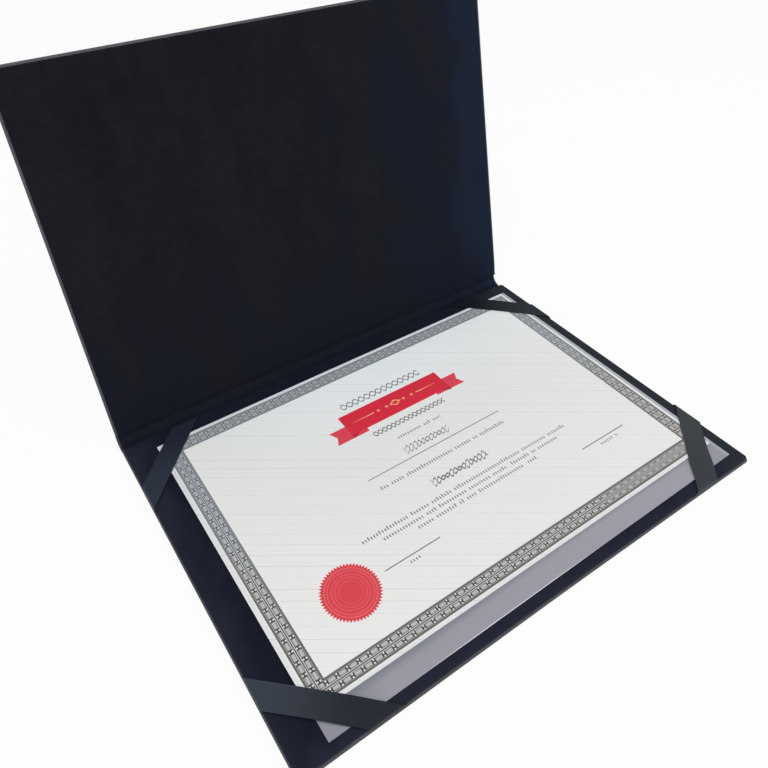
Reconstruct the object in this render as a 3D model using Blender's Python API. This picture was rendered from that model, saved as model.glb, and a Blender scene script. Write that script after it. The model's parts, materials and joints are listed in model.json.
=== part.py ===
"""A certificate folder standing open, as its maker would build it.

Two boards are wrapped in one cloth that also makes the soft spine between them. Velvet lines the
lid and the spine. A velvet panel is glued on the base, with four ribbons drawn round its edges, and
the ribbons hold a backing sheet and a certificate by their corners.

Lengths are in metres. The folder stands on z = 0 with its origin under the middle of the base: +X
runs along the spine, +Y from the front edge back to the spine, +Z up. The spine and the lid are
modelled lying flat, each about its own hinge line, and the pivots of those lines then raise them.
"""

import math

import bmesh
import bpy
from mathutils import Vector

MM = 0.001

# The sheet that the folder is made for, and the room that it has to slip in
SHEET_WIDTH = 297 * MM
SHEET_DEPTH = 210 * MM
SHEET_THICKNESS = 0.25 * MM
SIDE_ROOM = 14 * MM
END_ROOM = 8.5 * MM
SHEET_SLIPPED_X = 5.25 * MM
SHEET_SLIPPED_Y = -2.9 * MM

# The certificate, trimmed smaller than its backing and pushed into the backing's back left corner
CERTIFICATE_TRIM_X = 2.5 * MM
CERTIFICATE_TRIM_Y = 13.5 * MM
CERTIFICATE_THICKNESS = 0.2 * MM

# The case: boards, cover cloth, and the clearance that stands for each line of glue
FOLDER_WIDTH = SHEET_WIDTH + 2 * SIDE_ROOM
FOLDER_DEPTH = SHEET_DEPTH + 2 * END_ROOM
BOARD_THICKNESS = 1.5 * MM
CLOTH_THICKNESS = 0.3 * MM
GLUE_LINE = 0.12 * MM
TURN_IN = 15 * MM
MITRE_GAP = 0.5 * MM
CORNER_ROUND = 1.5 * MM
EDGE_ROUND = 0.5 * MM

# The soft spine, measured between its two hinge lines, and the lid's opening
SPINE_WIDTH = 12 * MM
HINGE_INSET = 0.8 * MM
HINGE_SLIT = 0.2 * MM
SPINE_DRAWN_IN = 2 * MM
OPENING = math.radians(104)

# Velvet, the panel that it covers on the base, and the border that it leaves on the lid
VELVET_THICKNESS = 0.35 * MM
PANEL_BOARD_THICKNESS = 0.9 * MM
PANEL_LEDGE = 0.7 * MM
PANEL_TURN_UNDER = 12 * MM
PANEL_CORNER_ROUND = 2 * MM
PANEL_EDGE_ROUND = 0.8 * MM
LINING_MARGIN = 1.5 * MM

# The ribbons: how far past the sheet's corner the middle of each one crosses the panel's front or back
# edge, and its side edge. They were glued by hand, so no two lie quite alike
RIBBON_WIDTH = 12.7 * MM
RIBBON_THICKNESS = 0.25 * MM
RIBBON_TAIL = 12 * MM
RIBBON_BEND = 0.4 * MM
RIBBON_HOLDS = {
    "front_left": (23.1 * MM, 20.7 * MM),
    "front_right": (18.2 * MM, 21.8 * MM),
    "back_left": (20.6 * MM, 23.8 * MM),
    "back_right": (25.6 * MM, 24.2 * MM),
}

# How finely curves are drawn
CORNER_STEPS = 6
EDGE_STEPS = 3
BEND_STEPS = 5
DRAWN_IN_STEPS = 14

# Heights of the layers, from the underside of either board upwards
BOARD_LOW = CLOTH_THICKNESS + GLUE_LINE
BOARD_HIGH = BOARD_LOW + BOARD_THICKNESS
FLAP_LOW = BOARD_HIGH + GLUE_LINE
FLAP_HIGH = FLAP_LOW + CLOTH_THICKNESS
LINING_LOW = FLAP_HIGH + GLUE_LINE
LINING_HIGH = LINING_LOW + VELVET_THICKNESS
RIBBON_TAIL_MIDDLE = FLAP_HIGH + GLUE_LINE + RIBBON_THICKNESS / 2
PANEL_LOW = FLAP_HIGH + 2 * GLUE_LINE + RIBBON_THICKNESS
PANEL_BOARD_LOW = PANEL_LOW + VELVET_THICKNESS + GLUE_LINE
PANEL_BOARD_HIGH = PANEL_BOARD_LOW + PANEL_BOARD_THICKNESS
PANEL_HIGH = PANEL_BOARD_HIGH + GLUE_LINE + VELVET_THICKNESS
SHEET_LOW = PANEL_HIGH + GLUE_LINE
SHEET_HIGH = SHEET_LOW + SHEET_THICKNESS
CERTIFICATE_LOW = SHEET_HIGH + GLUE_LINE
CERTIFICATE_HIGH = CERTIFICATE_LOW + CERTIFICATE_THICKNESS
RIBBON_MIDDLE = CERTIFICATE_HIGH + GLUE_LINE + RIBBON_THICKNESS / 2

# The spine is cloth with its ends turned in, and velvet over them: its hinge lines run at mid height
SPINE_FLAP_LOW = CLOTH_THICKNESS + GLUE_LINE
SPINE_FLAP_HIGH = SPINE_FLAP_LOW + CLOTH_THICKNESS
SPINE_LINING_LOW = SPINE_FLAP_HIGH + GLUE_LINE
SPINE_LINING_HIGH = SPINE_LINING_LOW + VELVET_THICKNESS
HINGE_HEIGHT = SPINE_LINING_HIGH / 2
BASE_HINGE_Y = FOLDER_DEPTH / 2 + HINGE_INSET
RAISED = (math.pi - OPENING) / 2

# The velvet panel over its cloth, centred on the base
PANEL_WIDTH = FOLDER_WIDTH - 2 * PANEL_LEDGE
PANEL_DEPTH = FOLDER_DEPTH - 2 * PANEL_LEDGE

# How far a cutter runs past what it cuts
PAST = 1 * MM


def clear_scene() -> None:
    """Empty the scene of whatever it opened with."""
    for obj in list(bpy.data.objects):
        bpy.data.objects.remove(obj, do_unlink=True)


def make_material(name: str, colour: tuple, roughness: float) -> bpy.types.Material:
    """A matt Principled material of one colour, given as linear red, green and blue."""
    material = bpy.data.materials.new(name)
    material.use_nodes = True
    shader = material.node_tree.nodes["Principled BSDF"]
    shader.inputs["Base Color"].default_value = (*colour, 1.0)
    shader.inputs["Roughness"].default_value = roughness
    shader.inputs["Metallic"].default_value = 0.0
    material.diffuse_color = (*colour, 1.0)
    return material


def add_pivot(name: str, place: Vector, turn: float, parent: bpy.types.Object | None = None):
    """An empty on a hinge line, turned about X, that raises what is parented to it."""
    pivot = bpy.data.objects.new(name, None)
    pivot.empty_display_size = 10 * MM
    pivot.location = place
    pivot.rotation_euler = (turn, 0.0, 0.0)
    pivot.parent = parent
    bpy.context.scene.collection.objects.link(pivot)
    return pivot


def add_object(name: str, shape: bmesh.types.BMesh, material=None, parent=None) -> bpy.types.Object:
    """Turn a finished shape into an object, with its faces pointing out."""
    if shape.calc_volume(signed=True) < 0:
        bmesh.ops.reverse_faces(shape, faces=shape.faces)
    mesh = bpy.data.meshes.new(name)
    shape.to_mesh(mesh)
    shape.free()
    mesh.shade_smooth()
    mesh.set_sharp_from_angle(angle=math.radians(35))
    obj = bpy.data.objects.new(name, mesh)
    obj.parent = parent
    if material:
        mesh.materials.append(material)
    bpy.context.scene.collection.objects.link(obj)
    return obj


def block(low: Vector, high: Vector) -> bmesh.types.BMesh:
    """A plain block between two corners, given in any order."""
    shape = bmesh.new()
    bmesh.ops.create_cube(shape, size=1.0)
    middle = (low + high) / 2
    for vertex in shape.verts:
        vertex.co = Vector(
            middle[axis] + vertex.co[axis] * abs(high[axis] - low[axis]) for axis in range(3)
        )
    return shape


def round_off(shape: bmesh.types.BMesh, wanted, radius: float, steps: int) -> None:
    """Round the edges for which wanted(edge, its direction, its middle) holds."""
    chosen = []
    for edge in shape.edges:
        first, second = (vertex.co for vertex in edge.verts)
        if wanted((second - first).normalized(), (first + second) / 2):
            chosen.append(edge)
    bmesh.ops.bevel(
        shape,
        geom=chosen,
        offset=radius,
        offset_type="OFFSET",
        segments=steps,
        profile=0.5,
        affect="EDGES",
    )


def soft_block(low: Vector, high: Vector, corner: float, edge: float, square_y: float | None = None):
    """A slab of cloth-covered board: round corners and soft edges, but for the end at square_y."""
    shape = block(low, high)
    touch = GLUE_LINE / 10

    def at_square_end(place: Vector) -> bool:
        return square_y is not None and abs(place.y - square_y) < touch

    if corner > 0:
        round_off(shape, lambda way, at: abs(way.z) > 0.9 and not at_square_end(at), corner, CORNER_STEPS)
    if edge > 0:

        def on_rim(way: Vector, at: Vector) -> bool:
            flat = abs(way.z) < 0.1
            outer = min(abs(at.z - low.z), abs(at.z - high.z)) < touch
            return flat and outer and not at_square_end(at)

        round_off(shape, on_rim, edge, EDGE_STEPS)
    return shape


def cut_away(target: bpy.types.Object, what: str, shape: bmesh.types.BMesh) -> None:
    """Cut a shape out of an object, and keep the cutter out of sight."""
    cutter = add_object(f"{target.name}_{what}", shape, parent=target.parent)
    cutter.hide_render = True
    cutter.display_type = "WIRE"
    boolean = target.modifiers.new(what, "BOOLEAN")
    boolean.operation = "DIFFERENCE"
    boolean.solver = "EXACT"
    boolean.object = cutter


def mitre_cutter(corner: Vector, inward: Vector, reach: float, z_low: float, z_high: float):
    """A thin upright blade that parts two turned-in flaps, from their corner inwards at 45 degrees."""
    shape = block(Vector((0.0, -MITRE_GAP / 2, z_low)), Vector((reach, MITRE_GAP / 2, z_high)))
    angle = math.atan2(inward.y, inward.x)
    for vertex in shape.verts:
        x, y, z = vertex.co
        vertex.co = Vector(
            (
                corner.x + x * math.cos(angle) - y * math.sin(angle),
                corner.y + x * math.sin(angle) + y * math.cos(angle),
                z,
            )
        )
    return shape


def make_board(name: str, hinge_y: float, away: int, floor: float, material, parent=None) -> None:
    """The greyboard inside one cover, its long edge parallel to the hinge line."""
    round_corner = CORNER_ROUND - CLOTH_THICKNESS - GLUE_LINE
    half = FOLDER_WIDTH / 2 - CLOTH_THICKNESS - GLUE_LINE
    near = hinge_y + away * HINGE_INSET
    far = hinge_y + away * (HINGE_INSET + FOLDER_DEPTH - CLOTH_THICKNESS - GLUE_LINE)
    low = Vector((-half, min(near, far), floor + BOARD_LOW))
    high = Vector((half, max(near, far), floor + BOARD_HIGH))
    add_object(name, soft_block(low, high, round_corner, 0.0, square_y=near), material, parent)


def make_cover(name: str, hinge_y: float, away: int, floor: float, material, parent=None) -> None:
    """The cloth round one board: under it, up its three free edges and turned in over its top.

    It starts at the hinge line as a single thickness. away is +1 where the board lies behind the
    hinge line and -1 where it lies in front.
    """
    half = FOLDER_WIDTH / 2
    sheet_end = hinge_y + away * HINGE_SLIT / 2
    board_end = hinge_y + away * HINGE_INSET
    far = board_end + away * FOLDER_DEPTH
    outer = soft_block(
        Vector((-half, min(sheet_end, far), floor)),
        Vector((half, max(sheet_end, far), floor + FLAP_HIGH)),
        CORNER_ROUND,
        EDGE_ROUND,
        square_y=sheet_end,
    )
    cover = add_object(name, outer, material, parent)

    pocket_half = half - CLOTH_THICKNESS
    pocket_far = far - away * CLOTH_THICKNESS
    open_end = sheet_end - away * PAST
    pocket = soft_block(
        Vector((-pocket_half, min(open_end, pocket_far), floor + CLOTH_THICKNESS)),
        Vector((pocket_half, max(open_end, pocket_far), floor + FLAP_LOW)),
        CORNER_ROUND - CLOTH_THICKNESS,
        0.0,
        square_y=open_end,
    )
    cut_away(cover, "pocket", pocket)

    window_far = far - away * TURN_IN
    window = block(
        Vector((-(half - TURN_IN), open_end, floor + FLAP_LOW - GLUE_LINE)),
        Vector((half - TURN_IN, window_far, floor + FLAP_HIGH + PAST)),
    )
    cut_away(cover, "window", window)

    step = block(
        Vector((-half - PAST, open_end, floor + CLOTH_THICKNESS)),
        Vector((half + PAST, board_end, floor + FLAP_HIGH + PAST)),
    )
    cut_away(cover, "step", step)

    for side, where in ((-1, "left_mitre"), (1, "right_mitre")):
        start = Vector((side * (pocket_half - CORNER_ROUND), pocket_far - away * CORNER_ROUND, 0.0))
        inward = Vector((-side, -away, 0.0))
        blade = mitre_cutter(
            start, inward, math.sqrt(2) * TURN_IN, floor + FLAP_LOW - GLUE_LINE, floor + FLAP_HIGH + PAST
        )
        cut_away(cover, where, blade)


def make_panel_board(name: str, material) -> None:
    """The thinner board inside the velvet panel on the base."""
    inset = VELVET_THICKNESS + GLUE_LINE
    low = Vector((-PANEL_WIDTH / 2 + inset, -PANEL_DEPTH / 2 + inset, PANEL_BOARD_LOW))
    high = Vector((PANEL_WIDTH / 2 - inset, PANEL_DEPTH / 2 - inset, PANEL_BOARD_HIGH))
    add_object(name, soft_block(low, high, PANEL_CORNER_ROUND - inset, 0.0), material)


def make_panel_velvet(name: str, material) -> None:
    """The velvet over the panel, drawn over its four edges and turned under with mitred corners."""
    half = Vector((PANEL_WIDTH / 2, PANEL_DEPTH / 2, 0.0))
    outer = soft_block(
        Vector((-half.x, -half.y, PANEL_LOW)),
        Vector((half.x, half.y, PANEL_HIGH)),
        PANEL_CORNER_ROUND,
        PANEL_EDGE_ROUND,
    )
    velvet = add_object(name, outer, material)

    pocket = Vector((half.x - VELVET_THICKNESS, half.y - VELVET_THICKNESS, 0.0))
    pocket_low = PANEL_LOW + VELVET_THICKNESS
    pocket_shape = soft_block(
        Vector((-pocket.x, -pocket.y, pocket_low)),
        Vector((pocket.x, pocket.y, PANEL_HIGH - VELVET_THICKNESS)),
        PANEL_CORNER_ROUND - VELVET_THICKNESS,
        0.0,
    )
    cut_away(velvet, "pocket", pocket_shape)

    window = Vector((half.x - PANEL_TURN_UNDER, half.y - PANEL_TURN_UNDER, 0.0))
    window_shape = block(
        Vector((-window.x, -window.y, PANEL_LOW - PAST)),
        Vector((window.x, window.y, pocket_low + GLUE_LINE)),
    )
    cut_away(velvet, "window", window_shape)

    for side, front, where in (
        (-1, -1, "front_left_mitre"),
        (1, -1, "front_right_mitre"),
        (-1, 1, "back_left_mitre"),
        (1, 1, "back_right_mitre"),
    ):
        start = Vector(
            (side * (pocket.x - PANEL_CORNER_ROUND), front * (pocket.y - PANEL_CORNER_ROUND), 0.0)
        )
        inward = Vector((-side, -front, 0.0))
        reach = math.sqrt(2) * PANEL_TURN_UNDER
        blade = mitre_cutter(start, inward, reach, PANEL_LOW - PAST, pocket_low + GLUE_LINE)
        cut_away(velvet, where, blade)


def make_lid_lining(name: str, material, parent) -> None:
    """The velvet on the inside of the lid, from the hinge edge of its board to just inside the rest."""
    half = FOLDER_WIDTH / 2 - LINING_MARGIN
    low = Vector((-half, HINGE_INSET, LINING_LOW - HINGE_HEIGHT))
    high = Vector((half, HINGE_INSET + FOLDER_DEPTH - LINING_MARGIN, LINING_HIGH - HINGE_HEIGHT))
    shape = soft_block(low, high, CORNER_ROUND, VELVET_THICKNESS / 3, square_y=HINGE_INSET)
    add_object(name, shape, material, parent)


def drawn_in_strip(end_x: float, z_low: float, z_high: float) -> bmesh.types.BMesh:
    """A strip between the two hinge lines whose short ends curve inwards, as soft cloth draws in."""
    y_low = HINGE_SLIT / 2
    y_high = SPINE_WIDTH - HINGE_SLIT / 2
    half_chord = (y_high - y_low) / 2
    radius = (half_chord**2 + SPINE_DRAWN_IN**2) / (2 * SPINE_DRAWN_IN)
    half_angle = math.asin(half_chord / radius)
    right = []
    for step in range(DRAWN_IN_STEPS + 1):
        angle = half_angle * (2 * step / DRAWN_IN_STEPS - 1)
        inwards = SPINE_DRAWN_IN - radius * (1 - math.cos(angle))
        right.append((end_x - inwards, (y_low + y_high) / 2 + radius * math.sin(angle)))
    left = [(-x, y) for x, y in reversed(right)]
    shape = bmesh.new()
    outline = [shape.verts.new((x, y, z_low)) for x, y in right + left]
    face = shape.faces.new(outline)
    raised = bmesh.ops.extrude_face_region(shape, geom=[face])
    for item in raised["geom"]:
        if isinstance(item, bmesh.types.BMVert):
            item.co.z = z_high
    return shape


def make_spine_cover(name: str, material, parent) -> None:
    """The cover cloth between the boards, with its two ends turned in as hems."""
    floor = -HINGE_HEIGHT
    end_x = FOLDER_WIDTH / 2
    cover = add_object(
        name, drawn_in_strip(end_x, floor, floor + SPINE_FLAP_HIGH), material, parent
    )
    hem_gap = drawn_in_strip(
        end_x - CLOTH_THICKNESS, floor + CLOTH_THICKNESS, floor + SPINE_FLAP_LOW
    )
    for vertex in hem_gap.verts:
        vertex.co.y += math.copysign(PAST, vertex.co.y - SPINE_WIDTH / 2)
    cut_away(cover, "hem_gap", hem_gap)
    between = block(
        Vector((-(end_x - TURN_IN), -PAST, floor + CLOTH_THICKNESS)),
        Vector((end_x - TURN_IN, SPINE_WIDTH + PAST, floor + SPINE_FLAP_HIGH + PAST)),
    )
    cut_away(cover, "between_hems", between)


def make_spine_lining(name: str, material, parent) -> None:
    """The velvet over the spine's inside."""
    low = SPINE_LINING_LOW - HINGE_HEIGHT
    high = SPINE_LINING_HIGH - HINGE_HEIGHT
    add_object(name, drawn_in_strip(FOLDER_WIDTH / 2 - LINING_MARGIN, low, high), material, parent)


def ribbon_stations() -> list:
    """Where the ribbon runs past one edge of the panel: (along it, outside the edge, height) each.

    The first station is where it starts to bend over the edge. The ribbon then turns down the edge,
    turns under the panel and ends in its tail. The lengths are those of its middle surface.
    """
    wall = GLUE_LINE + RIBBON_THICKNESS / 2
    quarter = RIBBON_BEND * math.pi / 2
    drop = RIBBON_MIDDLE - RIBBON_TAIL_MIDDLE - 2 * RIBBON_BEND
    stations = []
    for step in range(BEND_STEPS + 1):
        angle = math.pi / 2 * step / BEND_STEPS
        outside = wall - RIBBON_BEND * (1 - math.sin(angle))
        height = RIBBON_MIDDLE - RIBBON_BEND * (1 - math.cos(angle))
        stations.append((RIBBON_BEND * angle, outside, height))
    for step in range(BEND_STEPS + 1):
        angle = math.pi / 2 * step / BEND_STEPS
        outside = wall - RIBBON_BEND * (1 - math.cos(angle))
        height = RIBBON_TAIL_MIDDLE + RIBBON_BEND * (1 - math.sin(angle))
        stations.append((quarter + drop + RIBBON_BEND * angle, outside, height))
    tail_start = stations[-1]
    stations.append((tail_start[0] + RIBBON_TAIL, tail_start[1] - RIBBON_TAIL, tail_start[2]))
    return stations


def make_ribbon(name: str, side: int, front: int, holds: tuple[float, float], material) -> None:
    """One corner ribbon: a flat strip across the corner, folded round both edges of the panel.

    It is laid out from the panel's corner, where a and b are the distances inwards along the front
    or back edge and along the side edge. Unfolded, the strip is straight, so each of its edges lies
    at one distance from the corner. A fold along an edge of the panel keeps the distance along that
    edge, and so the strip goes under the panel mirrored.
    """
    sheet_corner = SIDE_ROOM + END_ROOM - 2 * PANEL_LEDGE
    on_end, on_side = sheet_corner + holds[0], sheet_corner + holds[1]
    diagonal = math.hypot(on_end, on_side)
    share_a, share_b = on_side / diagonal, on_end / diagonal
    middle = on_end * on_side / diagonal
    strip_edges = (middle - RIBBON_WIDTH / 2, middle + RIBBON_WIDTH / 2)
    stations = ribbon_stations()
    bend_start = -stations[0][1]

    def row(along: float, outside: float, height: float, over_side: bool) -> list:
        unfolded = bend_start - along
        corners = []
        for distance in strip_edges:
            if over_side:
                a, b = -outside, (distance - share_a * unfolded) / share_b
            else:
                a, b = (distance - share_b * unfolded) / share_a, -outside
            x = side * (PANEL_WIDTH / 2 - a)
            y = front * (PANEL_DEPTH / 2 - b)
            corners.append(shape.verts.new((x, y, height)))
        return corners

    shape = bmesh.new()
    rows = [row(*station, over_side=True) for station in reversed(stations)]
    rows += [row(*station, over_side=False) for station in stations]
    for (first, second), (third, fourth) in zip(rows, rows[1:]):
        shape.faces.new((first, second, fourth, third))
    ribbon = add_object(name, shape, material)
    thick = ribbon.modifiers.new("thickness", "SOLIDIFY")
    thick.thickness = RIBBON_THICKNESS
    thick.offset = 0.0
    thick.use_even_offset = True
    thick.use_rim = True


def make_sheets(backing_material, certificate_material) -> None:
    """The backing sheet where it has slipped to, and the certificate in its back left corner."""
    left = SHEET_SLIPPED_X - SHEET_WIDTH / 2
    right = left + SHEET_WIDTH
    front = SHEET_SLIPPED_Y - SHEET_DEPTH / 2
    back = front + SHEET_DEPTH
    backing = block(Vector((left, front, SHEET_LOW)), Vector((right, back, SHEET_HIGH)))
    add_object("backing_sheet", backing, backing_material)
    certificate = block(
        Vector((left, front + CERTIFICATE_TRIM_Y, CERTIFICATE_LOW)),
        Vector((right - CERTIFICATE_TRIM_X, back, CERTIFICATE_HIGH)),
    )
    add_object("certificate", certificate, certificate_material)


def main() -> None:
    clear_scene()
    cloth = make_material("cover_cloth", (0.032, 0.040, 0.046), 0.6)
    velvet = make_material("velvet", (0.010, 0.012, 0.022), 0.95)
    greyboard = make_material("greyboard", (0.30, 0.28, 0.25), 0.9)
    ribbon = make_material("ribbon", (0.038, 0.047, 0.054), 0.45)
    pearl_card = make_material("pearl_card", (0.36, 0.34, 0.43), 0.4)
    paper = make_material("paper", (0.78, 0.79, 0.77), 0.6)

    spine_pivot = add_pivot("spine_pivot", Vector((0.0, BASE_HINGE_Y, HINGE_HEIGHT)), RAISED)
    lid_pivot = add_pivot("lid_pivot", Vector((0.0, SPINE_WIDTH, 0.0)), RAISED, spine_pivot)

    make_cover("base_cover", BASE_HINGE_Y, -1, 0.0, cloth)
    make_board("base_board", BASE_HINGE_Y, -1, 0.0, greyboard)
    make_panel_board("panel_board", greyboard)
    make_panel_velvet("panel_velvet", velvet)
    for where, holds in RIBBON_HOLDS.items():
        side = -1 if where.endswith("left") else 1
        front = -1 if where.startswith("front") else 1
        make_ribbon(f"ribbon_{where}", side, front, holds, ribbon)
    make_sheets(pearl_card, paper)

    make_spine_cover("spine_cover", cloth, spine_pivot)
    make_spine_lining("spine_lining", velvet, spine_pivot)

    make_cover("lid_cover", 0.0, 1, -HINGE_HEIGHT, cloth, lid_pivot)
    make_board("lid_board", 0.0, 1, -HINGE_HEIGHT, greyboard, lid_pivot)
    make_lid_lining("lid_lining", velvet, lid_pivot)


main()
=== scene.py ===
"""The looks of a certificate folder that stands open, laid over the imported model.

Lengths are in metres, or in millimetres where a name or a comment says so. Cloth that crosses a
hinge line is drawn with the folder lying flat open and then bent round that line, as the folder
stands. The flat layout also gives its grain and nap their places, so they follow the cloth.
"""

import json
import logging
import math
from collections.abc import Callable, Iterator, Sequence
from contextlib import contextmanager
from dataclasses import dataclass
from enum import Enum
from functools import reduce

import bmesh
import bpy
import numpy as np
from mathutils import Matrix, Vector


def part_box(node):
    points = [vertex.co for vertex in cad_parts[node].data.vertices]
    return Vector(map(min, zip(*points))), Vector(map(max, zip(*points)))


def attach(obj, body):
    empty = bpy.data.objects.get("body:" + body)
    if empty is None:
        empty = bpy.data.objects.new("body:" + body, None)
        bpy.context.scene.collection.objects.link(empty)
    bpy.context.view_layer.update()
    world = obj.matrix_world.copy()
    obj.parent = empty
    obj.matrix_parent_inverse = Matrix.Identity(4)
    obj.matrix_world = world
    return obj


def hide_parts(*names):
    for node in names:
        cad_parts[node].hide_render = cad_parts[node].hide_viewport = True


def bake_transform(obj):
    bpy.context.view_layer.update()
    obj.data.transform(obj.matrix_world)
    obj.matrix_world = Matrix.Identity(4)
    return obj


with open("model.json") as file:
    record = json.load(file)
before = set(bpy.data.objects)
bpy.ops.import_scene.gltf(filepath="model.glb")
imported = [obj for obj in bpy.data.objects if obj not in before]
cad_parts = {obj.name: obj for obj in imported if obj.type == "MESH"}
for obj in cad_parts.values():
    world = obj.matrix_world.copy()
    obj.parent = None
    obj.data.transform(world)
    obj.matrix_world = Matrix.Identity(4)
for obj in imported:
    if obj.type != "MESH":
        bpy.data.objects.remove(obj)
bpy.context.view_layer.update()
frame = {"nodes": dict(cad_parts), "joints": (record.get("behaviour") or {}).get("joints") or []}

LOG = logging.getLogger("certificate_folder")
MM = 0.001
FLAT_PLACE = "flat_mm"
SMOOTH_ANGLE = math.radians(35)
BEVEL_ANGLE = math.radians(60)
MERGE_MM = 0.002
SEARCH_STEPS = 40

# The base's cloth at its front edge, in millimetres: where the skew starts and how far it reaches
# back, then how far out it goes at the left, its slope and how gently the slope sets in.
SKEW_FROM, SKEW_OVER = -95.0, 13.0
SKEW_LEFT, SKEW_SLOPE, SKEW_SOFT = 0.3, 0.0052, 30.0

Colour = tuple[float, float, float]
Point = tuple[float, float, float]
Many = float | np.ndarray


def srgb(*values: float) -> Colour:
    """The linear colour of three display values from 0 to 255."""
    shares = [value / 255 for value in values]
    return tuple(s / 12.92 if s <= 0.04045 else ((s + 0.055) / 1.055) ** 2.4 for s in shares)


def dimmed(colour: Colour, share: float) -> Colour:
    """A share of a colour's light."""
    return tuple(part * share for part in colour)


def operator(operation: str, reflected: bool = False) -> "Callable[[Wire, Amount], Wire]":
    """Make the method of a wire that stands for one operator.

    Args:
        operation: The Math node's operation.
        reflected: Whether the other value comes first.

    Returns:
        The method, which adds the node to the wire's tree.
    """

    def method(wire: "Wire", other: "Amount") -> "Wire":
        """Join the wire and the other value by one Math node."""
        return wire.paint.math(operation, *((other, wire) if reflected else (wire, other)))

    return method


@dataclass(frozen=True, eq=False)
class Wire:
    """A socket that takes part in Python expressions, which add Math nodes to its tree."""

    paint: "Paint"
    socket: bpy.types.NodeSocket

    __add__ = __radd__ = operator("ADD")
    __mul__ = __rmul__ = operator("MULTIPLY")
    __sub__ = operator("SUBTRACT")
    __rsub__ = operator("SUBTRACT", reflected=True)
    __truediv__ = operator("DIVIDE")
    __gt__ = operator("GREATER_THAN")
    most = operator("MAXIMUM")
    least = operator("MINIMUM")

    def __abs__(self) -> "Wire":
        """This value without its sign."""
        return self.paint.math("ABSOLUTE", self)

    def apart(self, period: float) -> "Wire":
        """How far this value is from the nearest multiple of a period."""
        return self.paint.math("PINGPONG", self, period / 2)

    def ramp(self, low: float, high: float, start: float = 0.0, end: float = 1.0) -> "Wire":
        """A smooth step.

        Args:
            low: Where the step starts.
            high: Where it ends, above or below low.
            start: What it gives up to low.
            end: What it gives from high on.

        Returns:
            The stepped value.
        """
        if low > high:
            low, high, start, end = high, low, end, start
        inputs = {"Value": self, "From Min": low, "From Max": high, "To Min": start, "To Max": end}
        smooth_step = {"interpolation_type": "SMOOTHSTEP"}
        return self.paint.wire("ShaderNodeMapRange", inputs, "Result", **smooth_step)

    def within(self, low: float, high: float, soft: float = 0.16) -> "Wire":
        """1 between two values and 0 outside them. Each end fades over a width of soft."""
        half = (high - low) / 2
        return abs(self - (low + high) / 2).ramp(half + soft / 2, half - soft / 2)


Amount = Wire | float
Tone = Wire | Colour
Layers = Sequence[tuple[Amount, Tone]]


class Owner(Enum):
    """What a node tree belongs to, with the name of its list in bpy.data."""

    MATERIAL = "materials"
    WORLD = "worlds"


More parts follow.
